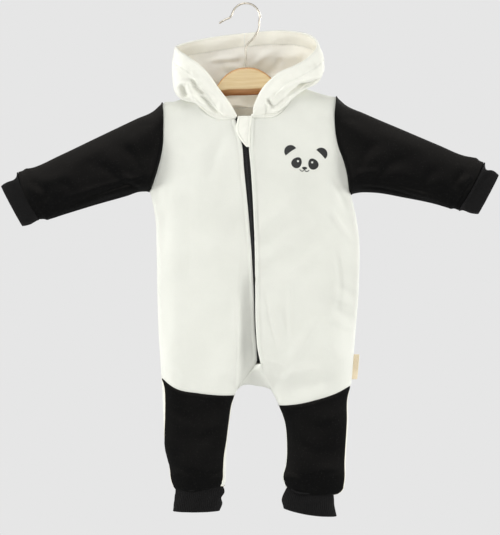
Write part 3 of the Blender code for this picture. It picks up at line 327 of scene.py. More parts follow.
# The black leg fronts stop short of the outline, so that a little of the white back shows beside them.
PULL = {
    (RIGHT, "outer"): table("down pull", (520, 0), (530, 2.6), (550, 3.2), (572, 2.2), (592, 0.6), (675, 0.4)),
    (LEFT, "outer"): table("down pull", (531, 0), (560, 1.2), (683, 0.8)),
    (RIGHT, "inner"): table(
        "down pull", (544, 0), (560, 0.6), (610, 1.0), (632, 3.0), (648, 3.4), (660, 3.6), (668, 5.2), (676, 3.4),
    ),
    (LEFT, "inner"): table("down pull", (558, 0), (600, 0.6), (672, 0.8)),
}

# Creases, seen from the front: a trough from one place to another, bowed aside, with a soft ridge beside it.
CREASES = {
    "front": creases(
        (-76, 210, -72, 500, 5, 14.0, 1.0), (-104, 250, -112, 330, 3, 7.0, 0.8), (-30, 180, -52, 240, 5, 9.0, 0.8),
        (-118, 196, -98, 168, 3, 6.0, 1.0), (96, 150, 124, 176, -3, 6.0, 0.9), (-110, 505, -60, 522, 4, 7.0, 0.8),
    ),
    "back": creases(
        (-60, 175, -10, 240, 6, 9.0, 1.3), (60, 170, 20, 250, -6, 9.0, 1.2), (-112, 230, -90, 300, 5, 7.0, 1.6),
        (132, 236, 112, 310, -5, 7.0, 1.6), (-40, 330, -50, 470, 6, 12.0, 1.0), (60, 320, 76, 450, -6, 12.0, 1.0),
        (-20, 500, -70, 455, 5, 8.0, 1.4), (40, 500, 96, 452, -5, 8.0, 1.4), (-90, 560, -50, 590, 4, 7.0, 1.2),
        (120, 575, 80, 600, -4, 7.0, 1.2), (-88, 640, -48, 655, 3, 5.0, 1.1), (116, 645, 74, 660, -3, 5.0, 1.1),
    ),
    "leg": creases(
        (-104, 560, -64, 582, 4, 7.0, 0.6), (-34, 590, -66, 616, 3, 7.0, 0.5), (-100, 640, -60, 655, 3, 5.0, 0.7),
        (-36, 650, -62, 664, 2, 4.5, 0.6), (132, 572, 96, 592, -4, 7.0, 0.6), (64, 600, 100, 622, 4, 7.0, 0.5),
        (128, 650, 92, 664, 3, 5.0, 0.7), (64, 650, 88, 668, -2, 4.5, 0.6), (-92, 590, -88, 650, 3, 8.0, 0.4),
    ),
    "sleeve": creases(
        (-146, 246, -262, 290, 4, 4.0, 3.4), (-150, 226, -178, 196, 5, 7.0, 1.8),
        (-170, 250, -212, 222, 4, 7.0, 1.3), (-238, 268, -262, 240, 3, 7.0, 1.2),
        (-280, 262, -302, 246, 2, 5.0, 1.3), (-284, 284, -300, 262, 2, 4.0, 1.1),
        (156, 246, 286, 272, -4, 4.0, 3.2), (160, 226, 186, 192, -5, 7.0, 1.8), (178, 246, 224, 214, -4, 7.0, 1.3),
        (244, 258, 268, 226, -3, 7.0, 1.2), (290, 250, 312, 232, -2, 5.0, 1.3), (296, 272, 312, 248, -2, 4.0, 1.1),
        (-126, 168, -160, 178, 3, 6.0, 1.0), (134, 160, 170, 170, -3, 6.0, 1.0),
    ),
    "hood": creases(
        (-102, 74, -84, 94, 4, 8.0, 1.4), (-60, 84, -42, 112, -3, 6.0, 1.2), (-98, 86, -72, 92, 3, 7.0, 1.2),
        (22, 142, 24, 156, 1, 2.2, 1.0), (84, 74, 106, 90, 4, 7.0, 1.5), (60, 104, 96, 82, -4, 6.0, 1.3),
        (-32, 134, -24, 158, 2, 3.0, 1.1), (28, 139, 28, 153, 1, 2.4, 1.6),
    ),
    "hood_back": creases(
        (-70, 80, -20, 120, 6, 9.0, 2.0), (70, 78, 26, 122, -6, 9.0, 2.0), (-40, 130, 10, 150, 6, 8.0, 1.8),
        (-90, 100, -60, 130, 4, 7.0, 1.6), (88, 96, 60, 126, -4, 7.0, 1.6), (-4, 60, 18, 96, 4, 9.0, 1.2),
    ),
    "lining": creases(
        (-59, 62, -68, 78, 2, 4.0, 2.2), (-30, 92, 20, 84, 5, 7.0, 2.0), (84, 62, 66, 84, -3, 6.0, 2.0),
        (-78, 62, -60, 84, 4, 6.0, 2.0), (-44, 128, 0, 118, 4, 6.0, 1.6), (-18, 77, -4, 79, 2, 5.0, 1.6),
    ),
}
# Long folds, each its height, its width on the left and on the right, then the points of its line.
FOLDS = {
    "front": [
        (3.5, 12, 9, (6, 330), (20, 315), (41, 294), (64, 276), (84, 262)),
        (-3.4, 11, 12, (4, 354), (15, 344), (34, 328), (54, 315), (86, 300), (104, 292)),
        (-2.4, 8, 9, (4, 377), (28, 364), (52, 351), (76, 338)),
        (2.4, 8, 9, (30, 394), (44, 385), (64, 373), (85, 359), (106, 345), (120, 336)),
        (1.3, 2.6, 3.6, (61, 372), (62, 412), (63, 474)), (-1.8, 9, 7, (46, 412), (55, 446), (57, 474)),
        (-1.7, 3, 5.5, (122, 330), (130, 372), (131, 396), (126, 440)),
        (2.6, 4, 5, (110, 276), (131, 308), (145, 326), (154, 339)),
        (-2.5, 5, 4, (115, 238), (131, 268), (142, 292)), (-2.4, 4.5, 5, (122, 390), (145, 402), (170, 412)),
        (2.4, 5, 4.5, (114, 403), (145, 416), (170, 421)), (-2.6, 4.5, 5, (116, 422), (143, 434), (170, 441)),
        (2.4, 5, 4.5, (110, 436), (143, 447), (170, 451)), (-1.8, 3, 6, (24, 394), (32, 437), (46, 490)),
        (2.0, 3, 5, (16, 485), (36, 495), (60, 506)),
        (3.0, 9, 9, (58, 504), (66, 490), (82, 464), (98, 443), (106, 432)),
        (-3.2, 9, 8, (56, 532), (66, 533), (89, 531), (112, 524), (126, 518)),
        (2.6, 7, 7, (44, 528), (71, 510), (108, 509)),
        (1.6, 4, 1.8, (-12.5, 396), (-11.2, 450), (-12, 500), (-14, 540)),
        (2.0, 9, 8, (108, 466), (128, 486), (150, 496)), (-1.7, 9, 9, (-20, 172), (-42, 215), (-56, 262)),
    ],
    "back": [
        (3.4, 13, 10, (-124, 176), (-84, 226), (-34, 262)), (-3.0, 9, 12, (-120, 214), (-84, 256), (-40, 284)),
        (3.0, 11, 11, (116, 168), (84, 210), (36, 246)), (-3.0, 11, 9, (122, 200), (88, 238), (46, 266)),
        (2.8, 15, 9, (-66, 300), (-74, 384), (-58, 466)), (-2.6, 9, 14, (-40, 306), (-46, 392), (-30, 470)),
        (2.6, 10, 14, (66, 286), (80, 372), (66, 452)), (-2.6, 13, 9, (40, 296), (54, 380), (42, 446)),
        (3.8, 9, 9, (2, 520), (-34, 492), (-92, 470)), (-3.2, 9, 9, (-8, 502), (-42, 474), (-94, 448)),
        (3.6, 9, 9, (14, 518), (52, 488), (110, 468)), (-3.2, 9, 9, (22, 500), (58, 474), (112, 448)),
        (2.8, 8, 8, (-108, 556), (-76, 580), (-44, 592)), (-2.6, 8, 8, (-106, 578), (-74, 600), (-46, 610)),
        (2.8, 8, 8, (130, 560), (96, 582), (58, 590)), (-2.6, 8, 8, (130, 580), (94, 602), (62, 608)),
        (2.4, 5, 5, (-100, 636), (-74, 648), (-46, 644)), (2.4, 5, 5, (126, 640), (100, 652), (70, 648)),
        (-2.4, 4.5, 5, (122, 390), (145, 402), (170, 412)), (2.4, 5, 4.5, (114, 403), (145, 416), (170, 421)),
        (-2.2, 5, 5, (-116, 330), (-98, 344), (-76, 350)), (2.2, 5, 5, (-118, 344), (-98, 358), (-72, 364)),
        (1.8, 12, 16, (-96, 140), (-10, 168), (92, 136)), (-1.6, 14, 14, (-70, 420), (0, 440), (82, 416)),
    ],
    "sleeve": [
        (2.6, 6, 1.8, (-277, 294), (-257, 288), (-202, 268.5), (-150, 252)),
        (-6.0, 1.7, 3.4, (-280, 300), (-257, 293.5), (-202, 274), (-170, 264), (-146, 257)),
        (2.0, 6, 3, (-178, 238), (-160, 246), (-146, 252), (-130, 258)),
        (-2.4, 3, 4, (-176, 245), (-158, 252), (-140, 259)),
        (2.6, 6, 1.8, (146, 246), (176, 248.6), (210, 255), (248, 266.5), (292, 278)),
        (-6.0, 1.7, 3.4, (144, 252), (176, 253.5), (210, 259.5), (248, 271), (292, 282.5)),
        (1.8, 6, 4, (150, 240), (166, 236), (190, 234)), (-1.6, 6, 6, (-292, 240), (-276, 262), (-284, 282)),
        (1.5, 8, 8, (-292, 252), (-270, 244), (-240, 240)), (-1.6, 6, 7, (306, 226), (292, 244), (294, 266)),
        (1.6, 9, 9, (-250, 226), (-214, 208), (-176, 190)), (1.6, 9, 9, (176, 176), (216, 190), (256, 208)),
    ],
    "hood": [
        (5.0, 3.2, 4.2, (-96, 124), (-93, 115), (-87.5, 110.8), (-80, 112), (-76.5, 120), (-71, 130), (-63, 137),
         (-56, 142), (-48, 150), (-38, 158)),
        (-6.6, 2.8, 3.4, (-88, 113), (-86.5, 118), (-84.5, 125), (-81, 133)),
        (-4.6, 2.1, 2.8, (-82, 107), (-76, 108), (-71, 112), (-69, 118), (-64, 123), (-52, 127)),
        (3.2, 4.5, 3.2, (-78, 103), (-70, 105), (-64, 112), (-58, 119), (-46, 123)),
        (-4.4, 2.1, 3.0, (-68, 128), (-57, 135), (-51, 142), (-42, 150), (-28, 156)),
        (-5.8, 2.4, 3.0, (88, 111), (77, 115.5), (67, 122), (60, 126.5), (51.5, 136), (43, 143.5), (33, 147)),
        (-5.0, 2.1, 2.8, (29, 132), (33, 139.5), (39, 147)),
        (4.4, 3.0, 3.4, (32, 151), (43, 147), (50, 139), (57, 130), (66, 123)),
        (-5.2, 2.2, 3.4, (68, 119), (80, 114), (96, 109), (108, 105)),
        (3.2, 5.0, 3.4, (38, 134), (50, 122), (66, 113), (84, 108), (106, 100)),
    ],
    "lining": [
        (-3.2, 5.0, 3.4, (50, 68), (46.5, 77), (38, 88), (24, 98)),
        (2.4, 4.0, 4.0, (4, 90), (15, 78), (28, 66), (40, 60), (58, 58)),
        (1.2, 4.0, 5.0, (-60, 76), (-40, 74), (-20, 73), (-6, 62), (18, 55)),
        (-2.0, 2.6, 3.0, (-6, 60), (10, 57.5), (30, 56.5), (52, 55.5), (62, 59), (76, 62)),
        (-2.2, 2.2, 3.0, (49, 44), (57, 50), (62, 57)), (-2.2, 2.2, 3.0, (67, 43), (73, 50), (79, 59)),
        (-1.8, 3.0, 3.0, (-52, 81), (-30, 78), (-14, 77), (0, 73)),
        (-1.6, 2.4, 3.0, (-58, 60), (-63, 68), (-68, 78)),
    ],
}

# Soft waves that run over every piece of cloth: their length and height, and the way that they face.
WAVES = table(
    "length height lean phase", (118, 0.55, 0.30, 0.4), (83, 0.42, 1.25, 2.1), (61, 0.30, 2.30, 4.0),
    (47, 0.22, 0.85, 1.2), (35, 0.14, 1.9, 5.1),
)


def smooth(rows, by, column, at):
    """A smooth line through a table's rows: cubics whose slopes come from the neighbouring rows."""
    knots, values = rows[by], rows[column]
    slopes = np.gradient(values, knots)
    at = np.clip(np.asarray(at, float), knots[0], knots[-1])
    i = np.clip(np.searchsorted(knots, at, side="right") - 1, 0, len(knots) - 2)
    step = knots[i + 1] - knots[i]
    t = (at - knots[i]) / step
    rise = t * t * (3 - 2 * t)
    return (
        values[i] * (1 - rise) + values[i + 1] * rise
        + slopes[i] * step * t * (1 - t) ** 2 - slopes[i + 1] * step * t * t * (1 - t)
    )


def turn(share):
    """A quarter of a circle: 0 at an edge, 1 once the share of the turn is used up."""
    return np.sqrt(np.clip(1 - (1 - np.clip(share, 0, 1)) ** 2, 0, 1))


def step_up(value, start, end):
    """0 before start, 1 after end, and a smooth rise between them."""
    t = np.clip((value - start) / (end - start), 0, 1)
    return t * t * (3 - 2 * t)


def bell(value, width):
    """1 at 0, falling away on both sides within the width."""
    return np.exp(-(value / width) ** 2)


def mix(a, b, share):
    return a + (b - a) * share


def unit(ways):
    return ways / np.maximum(np.linalg.norm(ways, axis=-1, keepdims=True), 1e-12)


def travel(points):
    """How far along a line each of its points is."""
    return np.concatenate([[0], np.cumsum(np.linalg.norm(np.diff(points, axis=0), axis=1))])


def smooth_path(points, count):
    """Places set evenly along a smooth line through the points, and how far along it each of them is."""
    far = travel(points)
    at = np.linspace(0, far[-1], count)
    return np.stack([smooth({"far": far, "at": points[:, k]}, "far", "at", at) for k in (0, 1)], 1), at


def taken(values, at):
    """Values taken again at positions between their rows."""
    low = np.minimum(at.astype(int), len(values) - 2)
    return mix(values[low], values[low + 1], (at - low).reshape(-1, *[1] * (values.ndim - 1)))


def swung(x, down, u, v, lean):
    """Places that are u across and v down from a middle, in a figure that leans."""
    c, s = math.cos(lean), math.sin(lean)
    return x + c * u - s * v, down + s * u + c * v


def seam_groove(away):
    """A seam's groove, 1 deep, with a low swell beside it."""
    return 0.32 * bell(away - 4.2, 2.4) - bell(away, 1.5)


def crease_depth(rows, x, down):
    """How far creases push a place outwards: for each, a bell-shaped trough about its bowed line with a
    lower ridge on one side, both fading towards its ends."""
    total = np.zeros(np.broadcast(x, down).shape)
    for x0, d0, x1, d1, bow, width, depth in zip(*rows.values()):
        run = np.array([x1 - x0, d1 - d0])
        length = np.linalg.norm(run)
        along = ((x - x0) * run[0] + (down - d0) * run[1]) / length ** 2
        aside = ((down - d0) * run[0] - (x - x0) * run[1]) / length
        inside = np.clip(along, 0, 1)
        q = (aside - bow * 4 * inside * (1 - inside)) / (width * (0.6 + 0.8 * inside))
        beyond = (np.clip(along, -1, 0) ** 2 + np.clip(along - 1, 0, 1) ** 2) * (length / width) ** 2
        fade = np.exp(-beyond) * (0.25 + 0.75 * np.sin(math.pi * np.clip(along, 0.04, 0.96)))
        total += depth * fade * (0.62 * bell(q - 1.7, 1.25) - bell(q, 1))
    return total


def fold_height(folds, x, down):
    """How far long folds push a place outwards: about a smooth line through each fold's points the height
    falls away as a bell, with one width on its left and another on its right, and fades at its ends."""
    total = np.zeros(np.broadcast(x, down).shape)
    for height, left, right, *line in folds:
        path, _ = smooth_path(np.array(line, float), FOLD_POINTS)
        way = unit(np.gradient(path, axis=0))
        over, under = x[..., None] - path[:, 0], down[..., None] - path[:, 1]
        gap = np.hypot(over, under)
        near = gap.argmin(-1)[..., None]
        least, over, under = (np.take_along_axis(values, near, -1)[..., 0] for values in (gap, over, under))
        way, share = way[near[..., 0]], near[..., 0] / (FOLD_POINTS - 1)
        wide = np.where(way[..., 0] * under - way[..., 1] * over < 0, left, right)
        total += height * step_up(share, 0, 0.3) * (1 - step_up(share, 0.7, 1)) * bell(least / wide, 1)
    return total


def waves(x, down):
    """The soft unevenness of hanging cloth: long bent sine waves that cross each other."""
    total = np.zeros(np.broadcast(x, down).shape)
    for length, height, lean, phase in zip(*WAVES.values()):
        way = math.cos(lean) * x + math.sin(lean) * down
        cross = math.cos(lean) * down - math.sin(lean) * x
        total += height * np.sin(2 * math.pi * way / length + phase + 0.9 * np.sin(cross / length * 2.3 + phase))
    return total


def outer_x(down, hand):
    """The outline's x: the armhole seam above the underarm, the side seam below it."""
    side = SIDE[hand]
    above = smooth(ARMHOLE[hand], "down", "x", down)
    return np.where(down < side["down"][0], above, smooth(side, "down", "x", down))


def inner_x(down, hand):
    return smooth(INSEAM[hand], "down", "x", down)


def centre_x(down, hand):
    """The centre edge of a front: beside the zip, then along the gusset, then the top of the inseam."""
    return np.where(down > FORK, inner_x(down, hand), smooth(CENTRE[hand], "down", "x", down))


def split_x(down, hand):
    """A line down the back from the neck to the fork, then along the inseam."""
    return np.where(down > FORK, inner_x(down, hand), smooth(SPLIT[hand], "down", "x", down))


def pull_of(down, hand, edge):
    """How far the black cloth stops short of the outline, which is 0 above the leg seam."""
    rows = PULL[hand, edge]
    return np.where(down < rows["down"][0], 0.0, smooth(rows, "down", "pull", down))


def gap_distance(x, down):
    """How far each place is from the gap between the legs: up one inseam, over the crotch, down the other."""
    over = np.linspace(CROTCH["x"][0], CROTCH["x"][-1], 40)[1:-1]
    ends = {h: np.linspace(FORK, INSEAM[h]["down"][-1] + 30, 60) for h in (RIGHT, LEFT)}
    line = np.concatenate([
        np.stack([inner_x(ends[RIGHT], RIGHT), ends[RIGHT]], 1)[::-1],
        np.stack([over, smooth(CROTCH, "x", "down", over)], 1),
        np.stack([inner_x(ends[LEFT], LEFT), ends[LEFT]], 1),
    ])
    best = np.full(np.broadcast(x, down).shape, 1e9)
    for (x0, d0), (x1, d1) in zip(line[:-1], line[1:]):
        run = (x1 - x0) ** 2 + (d1 - d0) ** 2
        share = np.clip(((x - x0) * (x1 - x0) + (down - d0) * (d1 - d0)) / run, 0, 1)
        best = np.minimum(best, np.hypot(x - x0 - share * (x1 - x0), down - d0 - share * (d1 - d0)))
    return best


def fold_dip(x, down):
    """How far the right front bends back between its fold line and the zip."""
    start = smooth(FOLD, "down", "x", down)
    share = np.clip((x - start) / (smooth(CENTRE[RIGHT], "down", "x", down) - start), 0, 1)
    return smooth(FOLD, "down", "dip", down) * (1 - (1 - share) ** 3)


def body_shut(x, down):
    """1 in the middle of body and legs and 0 at every edge, along quarter circles."""
    width = smooth(DEPTH, "down", "turn", down)
    shut = turn((down - smooth(SHOULDER, "x", "down", x)) / SHOULDER_TURN) * turn(gap_distance(x, down) / width)
    for edge in (RIGHT, LEFT):
        out = np.maximum(edge * (outer_x(down, edge) - x), 0) / width
        up = np.maximum(SIDE[edge]["down"][0] - down, 0) / UNDERARM_TURN
        shut = shut * turn(np.hypot(out, up))
    return shut


def body_y(x, down, side, hand=LEFT, cloth=None):
    """The y of the front or back of body and legs: its depth there, with the creases and folds of a cloth,
    turned in at the edges. A front bows back towards its side too."""
    x, down = np.broadcast_arrays(np.asarray(x, float), np.asarray(down, float))
    reach = smooth(DEPTH, "down", "front" if side == FRONT else "back", down)
    shut = body_shut(x, down)
    if side == FRONT and hand == RIGHT:
        reach = reach - fold_dip(x, down)
    if cloth is not None:
        relief = crease_depth(CREASES[cloth], x, down) + waves(x, down)
        if cloth in FOLDS:
            relief = relief + fold_height(FOLDS[cloth], x, down)
        if cloth == "front":
            start, bow = BOW[hand]
            aside = np.maximum(hand * x - start, 0)
            relief = relief - bow * aside ** 2 * step_up(down, *BOW_START) * (1 - step_up(down, *BOW_END))
        reach = reach + relief * step_up(shut, 0.05, 0.85)
    return side * reach * shut


def front_y(x, down, hand=LEFT):
    """The y of a white front; leg_y and back_y are those of the black leg fronts and of the back."""
    return body_y(x, down, FRONT, hand, "front")


def leg_y(x, down):
    return body_y(x, down, FRONT, LEFT, "leg")


def back_y(x, down):
    return body_y(x, down, BACK, LEFT, "back")


def panel(from_x, to_x, spread, lines, stages):
    """A grid of x and down. Each column runs a share of the way from one border line to the other, and its
    rows stand at given shares between the lines that cross it, from top to bottom."""
    column = lambda down: mix(from_x(down), to_x(down), spread)
    crossings = []
    for line in lines:
        down = np.full(len(spread), 300.0)
        for _ in range(60):
            down = mix(down, line(column(down)), 0.8)
        crossings.append(down)
    rows = [crossings[0]] + [
        mix(a, b, v) for a, b, shares in zip(crossings, crossings[1:], stages) for v in shares
    ]
    downs = np.stack(rows)
    return np.stack([column(row) for row in downs]), downs


def even(count):
    """Equal shares up to 1, without 0."""
    return np.arange(1, count + 1) / count


def crowded(count):
    """Shares up to 1, without 0, closer together at the start."""
    return 1 - np.cos(even(count) * math.pi / 2)


def edge_spread(count):
    """Shares from 0 to 1, closer together at both ends."""
    return (1 - np.cos(np.linspace(0, math.pi, count))) / 2


def points_of(x, down, y):
    return np.stack(np.broadcast_arrays(x, y, -down), -1)


def grid_normals(points, flip=False, ring=False):
    """Outward directions on a grid, from the cross product of its two runs."""
    wide = np.concatenate([points[:, -2:-1], points, points[:, 1:2]], 1) if ring else points
    across = np.gradient(wide, axis=1)
    if ring:
        across = across[:, 1:-1]
    normals = unit(np.cross(np.gradient(points, axis=0), across))
    return -normals if flip else normals


def border_ways(points):
    """Each grid point's distances from its four borders, along the rows and columns."""
    steps_down = np.linalg.norm(np.diff(points, axis=0), axis=-1)
    steps_across = np.linalg.norm(np.diff(points, axis=1), axis=-1)
    top = np.concatenate([np.zeros((1, points.shape[1])), np.cumsum(steps_down, 0)])
    first = np.concatenate([np.zeros((points.shape[0], 1)), np.cumsum(steps_across, 1)], 1)
    return {"top": top, "low": top[-1:] - top, "first": first, "last": first[:, -1:] - first}


def seam_dip(points, borders, pucker=0.2):
    """How far seams pull the cloth in, by a depth for each border: a narrow groove, a low swell beside it,
    and puckers that fade away from it."""
    ways, total = border_ways(points), np.zeros(points.shape[:2])
    for border, depth in borders.items():
        away = ways[border]
        along = ways["first" if border in ("top", "low") else "top"]
        ripple = np.sin(along * 0.62) * np.sin(along * 0.173 + 1.0)
        total = total + depth * seam_groove(away)
        total = total + pucker * ripple * np.exp(-away / 9) * (1 - bell(away, 2.5))
    return total


class Cloth:
    """One piece of cloth, put together from grids of points that share their common borders."""

    def __init__(self, thickness):
        self.thickness, self.grids = thickness, []

    def add(self, points, flip=False, push=None, ring=False, thickness=None, plain=False):
        """push moves the points along their outward directions. The cloth's own coordinates, 1 for every
        100 mm, run across and down the grid, or plainly across and down where the cloth hangs flat."""
        if push is not None:
            points = points + grid_normals(points, flip, ring) * np.broadcast_to(push, points.shape[:2])[..., None]
        if ring:
            points[:, -1] = points[:, 0]
        ways = border_ways(points)
        middle = ways["first"][:, points.shape[1] // 2][:, None]
        coordinates = np.stack([ways["first"] - middle, -ways["top"]], -1) / 100
        if plain:
            coordinates = points[..., [0, 2]] / 100
        thick = np.broadcast_to(self.thickness if thickness is None else thickness, points.shape[:2])
        self.grids.append((points, flip, coordinates, thick))
        return points

    def shell(self):
        """Points, quads and coordinates of the closed shell: the outer side, the inner side, and rounded
        rims between them along the free borders."""
        quads, base = [], 0
        for points, flip, _, _ in self.grids:
            rows, columns = points.shape[:2]
            quads.append(grid_quads(rows, columns, flip) + base)
            base += rows * columns
        every = np.concatenate([g[0].reshape(-1, 3) for g in self.grids])
        coordinates = np.concatenate([g[2].reshape(-1, 2) for g in self.grids])
        quads = np.concatenate(quads)
        first, index = weld(every)
        points, texture = every[first], coordinates[quads]
        thick = np.concatenate([g[3].ravel() for g in self.grids])[first][:, None]
        quads = index[quads]
        whole = (quads[:, 0] != quads[:, 2]) & (quads[:, 1] != quads[:, 3])
        quads, texture = quads[whole], texture[whole]
        normals = point_normals(points, quads)
        count = len(points)
        edges = np.concatenate([quads[:, [k, (k + 1) % 4]] for k in range(4)])
        edges = edges[edges[:, 0] != edges[:, 1]]
        keys, reverse = edges @ np.array([count, 1]), edges @ np.array([1, count])
        rim = edges[~np.isin(keys, reverse)]
        away = np.zeros_like(points)
        outward = unit(np.cross(points[rim[:, 1]] - points[rim[:, 0]], normals[rim].mean(1)))
        np.add.at(away, rim[:, 0], outward)
        np.add.at(away, rim[:, 1], outward)
        edge = np.unique(rim)
        away, place = unit(away)[edge], np.zeros(count, int)
        place[edge] = np.arange(len(edge))
        inner = points - normals * thick
        layers, walls, textures = [points, inner], [quads, quads[:, ::-1] + count], [texture, texture[:, ::-1]]
        start, side = rim, coordinates[first]
        half = thick[edge] / 2
        for number, angle in enumerate((45, 90, 135, 180)):
            a = math.radians(angle)
            if angle < 180:
                layers.append(points[edge] + half * ((math.cos(a) - 1) * normals[edge] + math.sin(a) * away))
                end = place[rim] + 2 * count + number * len(edge)
            else:
                end = rim + count
            walls.append(np.stack([start[:, 1], start[:, 0], end[:, 0], end[:, 1]], -1))
            textures.append(np.stack([side[rim[:, 1]], side[rim[:, 0]], side[rim[:, 0]], side[rim[:, 1]]], 1))
            start = end
        self.sides = len(quads)
        return np.concatenate(layers), np.concatenate(walls), np.concatenate(textures)


def grid_quads(rows, columns, flip=False):
    index = np.arange(rows * columns).reshape(rows, columns)
    quads = np.stack([index[:-1, :-1], index[1:, :-1], index[1:, 1:], index[:-1, 1:]], -1).reshape(-1, 4)
    return quads[:, ::-1] if flip else quads


def weld(points):
    """The first of every set of points at one place, and for each point its number among them."""
    _, first, index = np.unique(np.round(points, 2), axis=0, return_index=True, return_inverse=True)
    return first, index.reshape(-1)


def point_normals(points, quads):
    """Each point's outward direction: the sum of those of its faces, by their areas."""
    normals, ring = np.zeros_like(points), points[quads]
    area = np.cross(ring[:, 2] - ring[:, 0], ring[:, 3] - ring[:, 1])
    for k in range(4):
        np.add.at(normals, quads[:, k], area)
    return unit(normals)


def add_mesh(name, points, faces, coordinates=None):
    """A smooth mesh from points in millimetres. Corners that fall on the next one are left out."""
    mesh = bpy.data.meshes.new(name)
    kept = faces != np.roll(faces, 1, axis=1)
    sizes = kept.sum(1)
    kept &= (sizes > 2)[:, None]
    sizes = sizes[sizes > 2]
    corners = faces[kept]
    mesh.vertices.add(len(points))
    mesh.vertices.foreach_set("co", (np.asarray(points) * MM).ravel())
    mesh.loops.add(len(corners))
    mesh.loops.foreach_set("vertex_index", corners.astype(np.int32))
    mesh.polygons.add(len(sizes))
    mesh.polygons.foreach_set("loop_start", (np.cumsum(sizes) - sizes).astype(np.int32))
    mesh.update(calc_edges=True)
    if coordinates is not None:
        layer = mesh.uv_layers.new(name="cloth")
        layer.data.foreach_set("uv", np.asarray(coordinates, float)[kept].ravel())
    mesh.shade_smooth()
    thing = bpy.data.objects.new(name, mesh)
    bpy.context.scene.collection.objects.link(thing)
    return thing


def add_closed(name, grids, tone=None):
    """A mesh of closed forms, each a grid whose last column is its first and whose end rows shrink to a
    point. tone is a value for each grid point, kept for the finish."""
    grids = np.asarray(grids, float)
    if grids.ndim == 3:
        grids = grids[None]
    count, rows, columns = grids.shape[:3]
    every = grids.reshape(-1, 3)
    quads = np.concatenate([grid_quads(rows, columns) + k * rows * columns for k in range(count)])
    index = np.arange(count * rows * columns).reshape(count, rows, columns)
    index[:, :, -1] = index[:, :, 0]
    index[:, 0] = index[:, 0, :1]
    index[:, -1] = index[:, -1, :1]
    used, number = np.unique(index, return_inverse=True)
    number = number.reshape(-1)
    thing = add_mesh(name, every[used], number[quads])
    if tone is not None:
        layer = thing.data.attributes.new("tone", "FLOAT", "POINT")
        layer.data.foreach_set("value", np.broadcast_to(tone, grids.shape[:3]).reshape(-1)[used].astype(np.float32))
    return thing


def piece(thing, material, slot, *nodes):
    """Gives a piece its finish, hangs it under the root, and hides the solids that it stands for."""
    thing.data.materials.append(material)
    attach(thing, "root")
    if nodes:
        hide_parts(*nodes)
    return thing


def sew(node, cloth, material, slot, reverse=None):
    """The wrong side of the cloth may have a look of its own."""
    thing = piece(add_mesh(f"cloth_{node}", *cloth.shell()), material, slot, node)
    if reverse is not None:
        thing.data.materials.append(reverse)
        faces = thing.data.polygons
        centres, ways = np.zeros((2, len(faces) * 3))
        faces.foreach_get("center", centres)
        faces.foreach_get("normal", ways)
        # The inner side has the other look, and so have the rims along a seam in the middle of the back.
        layer, seam = np.arange(len(faces)) // cloth.sides, np.abs(centres[::3]) < 0.004
        inner = (layer == 1) | (seam & (layer > 1) & (np.abs(ways[::3]) > 0.2))
        faces.foreach_set("material_index", inner.astype(np.int32))
    return thing


def top_line(hand, neck):
    """The neck seam inside the neck point, the shoulder outside it."""
    point = NECK_POINT[hand]
    return lambda x: np.where(hand * x < hand * point, smooth(neck, "x", "down", x), smooth(SHOULDER, "x", "down", x))


def level(down):
    """A level line across a panel; along() is one that follows a table."""
    return lambda x: np.full(np.shape(x), float(down))


def along(rows):
    return lambda x: smooth(rows, "x", "down", x)


def front_grid(hand):
    """A white front, from the shoulder and the neck to the black leg. Its zip edge is folded and stitched."""
    lines = [
        top_line(hand, FRONT_NECK[hand]), level(SIDE[hand]["down"][0]), along(ZIP_ROW[hand]),
        along(FORK_ROW[hand]), along(LEG_SEAM[hand]),
    ]
    first, *others = FRONT_ROWS
    x, down = panel(
        lambda d: outer_x(d, hand), lambda d: centre_x(d, hand), edge_spread(FRONT_COLUMNS), lines,
        (crowded(first), *map(even, others)),
    )
    points = points_of(x, down, front_y(x, down, hand))
    push = seam_dip(points, {"top": 0.8, "first": 0.35, "low": 0.7})
    away = border_ways(points)["last"]
    beside_zip = 1 - step_up(down, *ZIP_END)
    folded = ZIP_ROLL[hand] * bell(away - 1.5, 2.2) - 0.45 * bell(away - ZIP_STITCH, 0.9) - 0.3 * bell(away, 0.6)
    return points, push + mix(0.7 * seam_groove(away), folded, beside_zip)


def make_fronts(material):
    """Both white fronts; returns their outer points, for the pieces that are sewn to them."""
    made = {}
    for hand, word in HANDS:
        points, push = front_grid(hand)
        cloth = Cloth(KNIT)
        made[hand] = cloth.add(points, flip=hand == LEFT, push=push, plain=True)
        sew(f"front_{word}", cloth, material, "white_knit")
    return made


def make_leg_fronts(material):
    """The black fronts of the legs, from the white fronts to the ankles, a little inside the outline."""
    for hand, word in HANDS:
        outer = lambda d: outer_x(d, hand) - hand * pull_of(d, hand, "outer")
        inner = lambda d: inner_x(d, hand) + hand * pull_of(d, hand, "inner")
        lines = [along(LEG_SEAM[hand]), along(ANKLE[hand])]
        x, down = panel(outer, inner, edge_spread(LEG_COLUMNS), lines, [even(LEG_ROWS)])
        points = points_of(x, down, leg_y(x, down))
        cloth = Cloth(KNIT)
        push = seam_dip(points, {"top": 0.7, "low": 0.8, "first": 0.3, "last": 0.3})
        cloth.add(points, flip=hand == LEFT, push=push, plain=True)
        sew(f"leg_front_{word}", cloth, material, "black_knit")


def wrapped(points, hand, edge, outline):
    """The strip of the back that comes round an edge of the leg to the front, as far as the black cloth.
    It starts on the given line of points."""
    down = np.repeat(-points[:, 2:], WRAP_COLUMNS, 1)
    inward = -hand if edge == "outer" else hand
    pull = pull_of(down, hand, edge)
    x = outline(down, hand) + inward * pull * np.linspace(0, 1, WRAP_COLUMNS)[None] ** 2
    grid = points_of(x, down, leg_y(x, down))
    grid[:, 0] = points
    narrow = pull[:, 0] < 0.02
    grid[narrow] = points[narrow][:, None]
    return grid


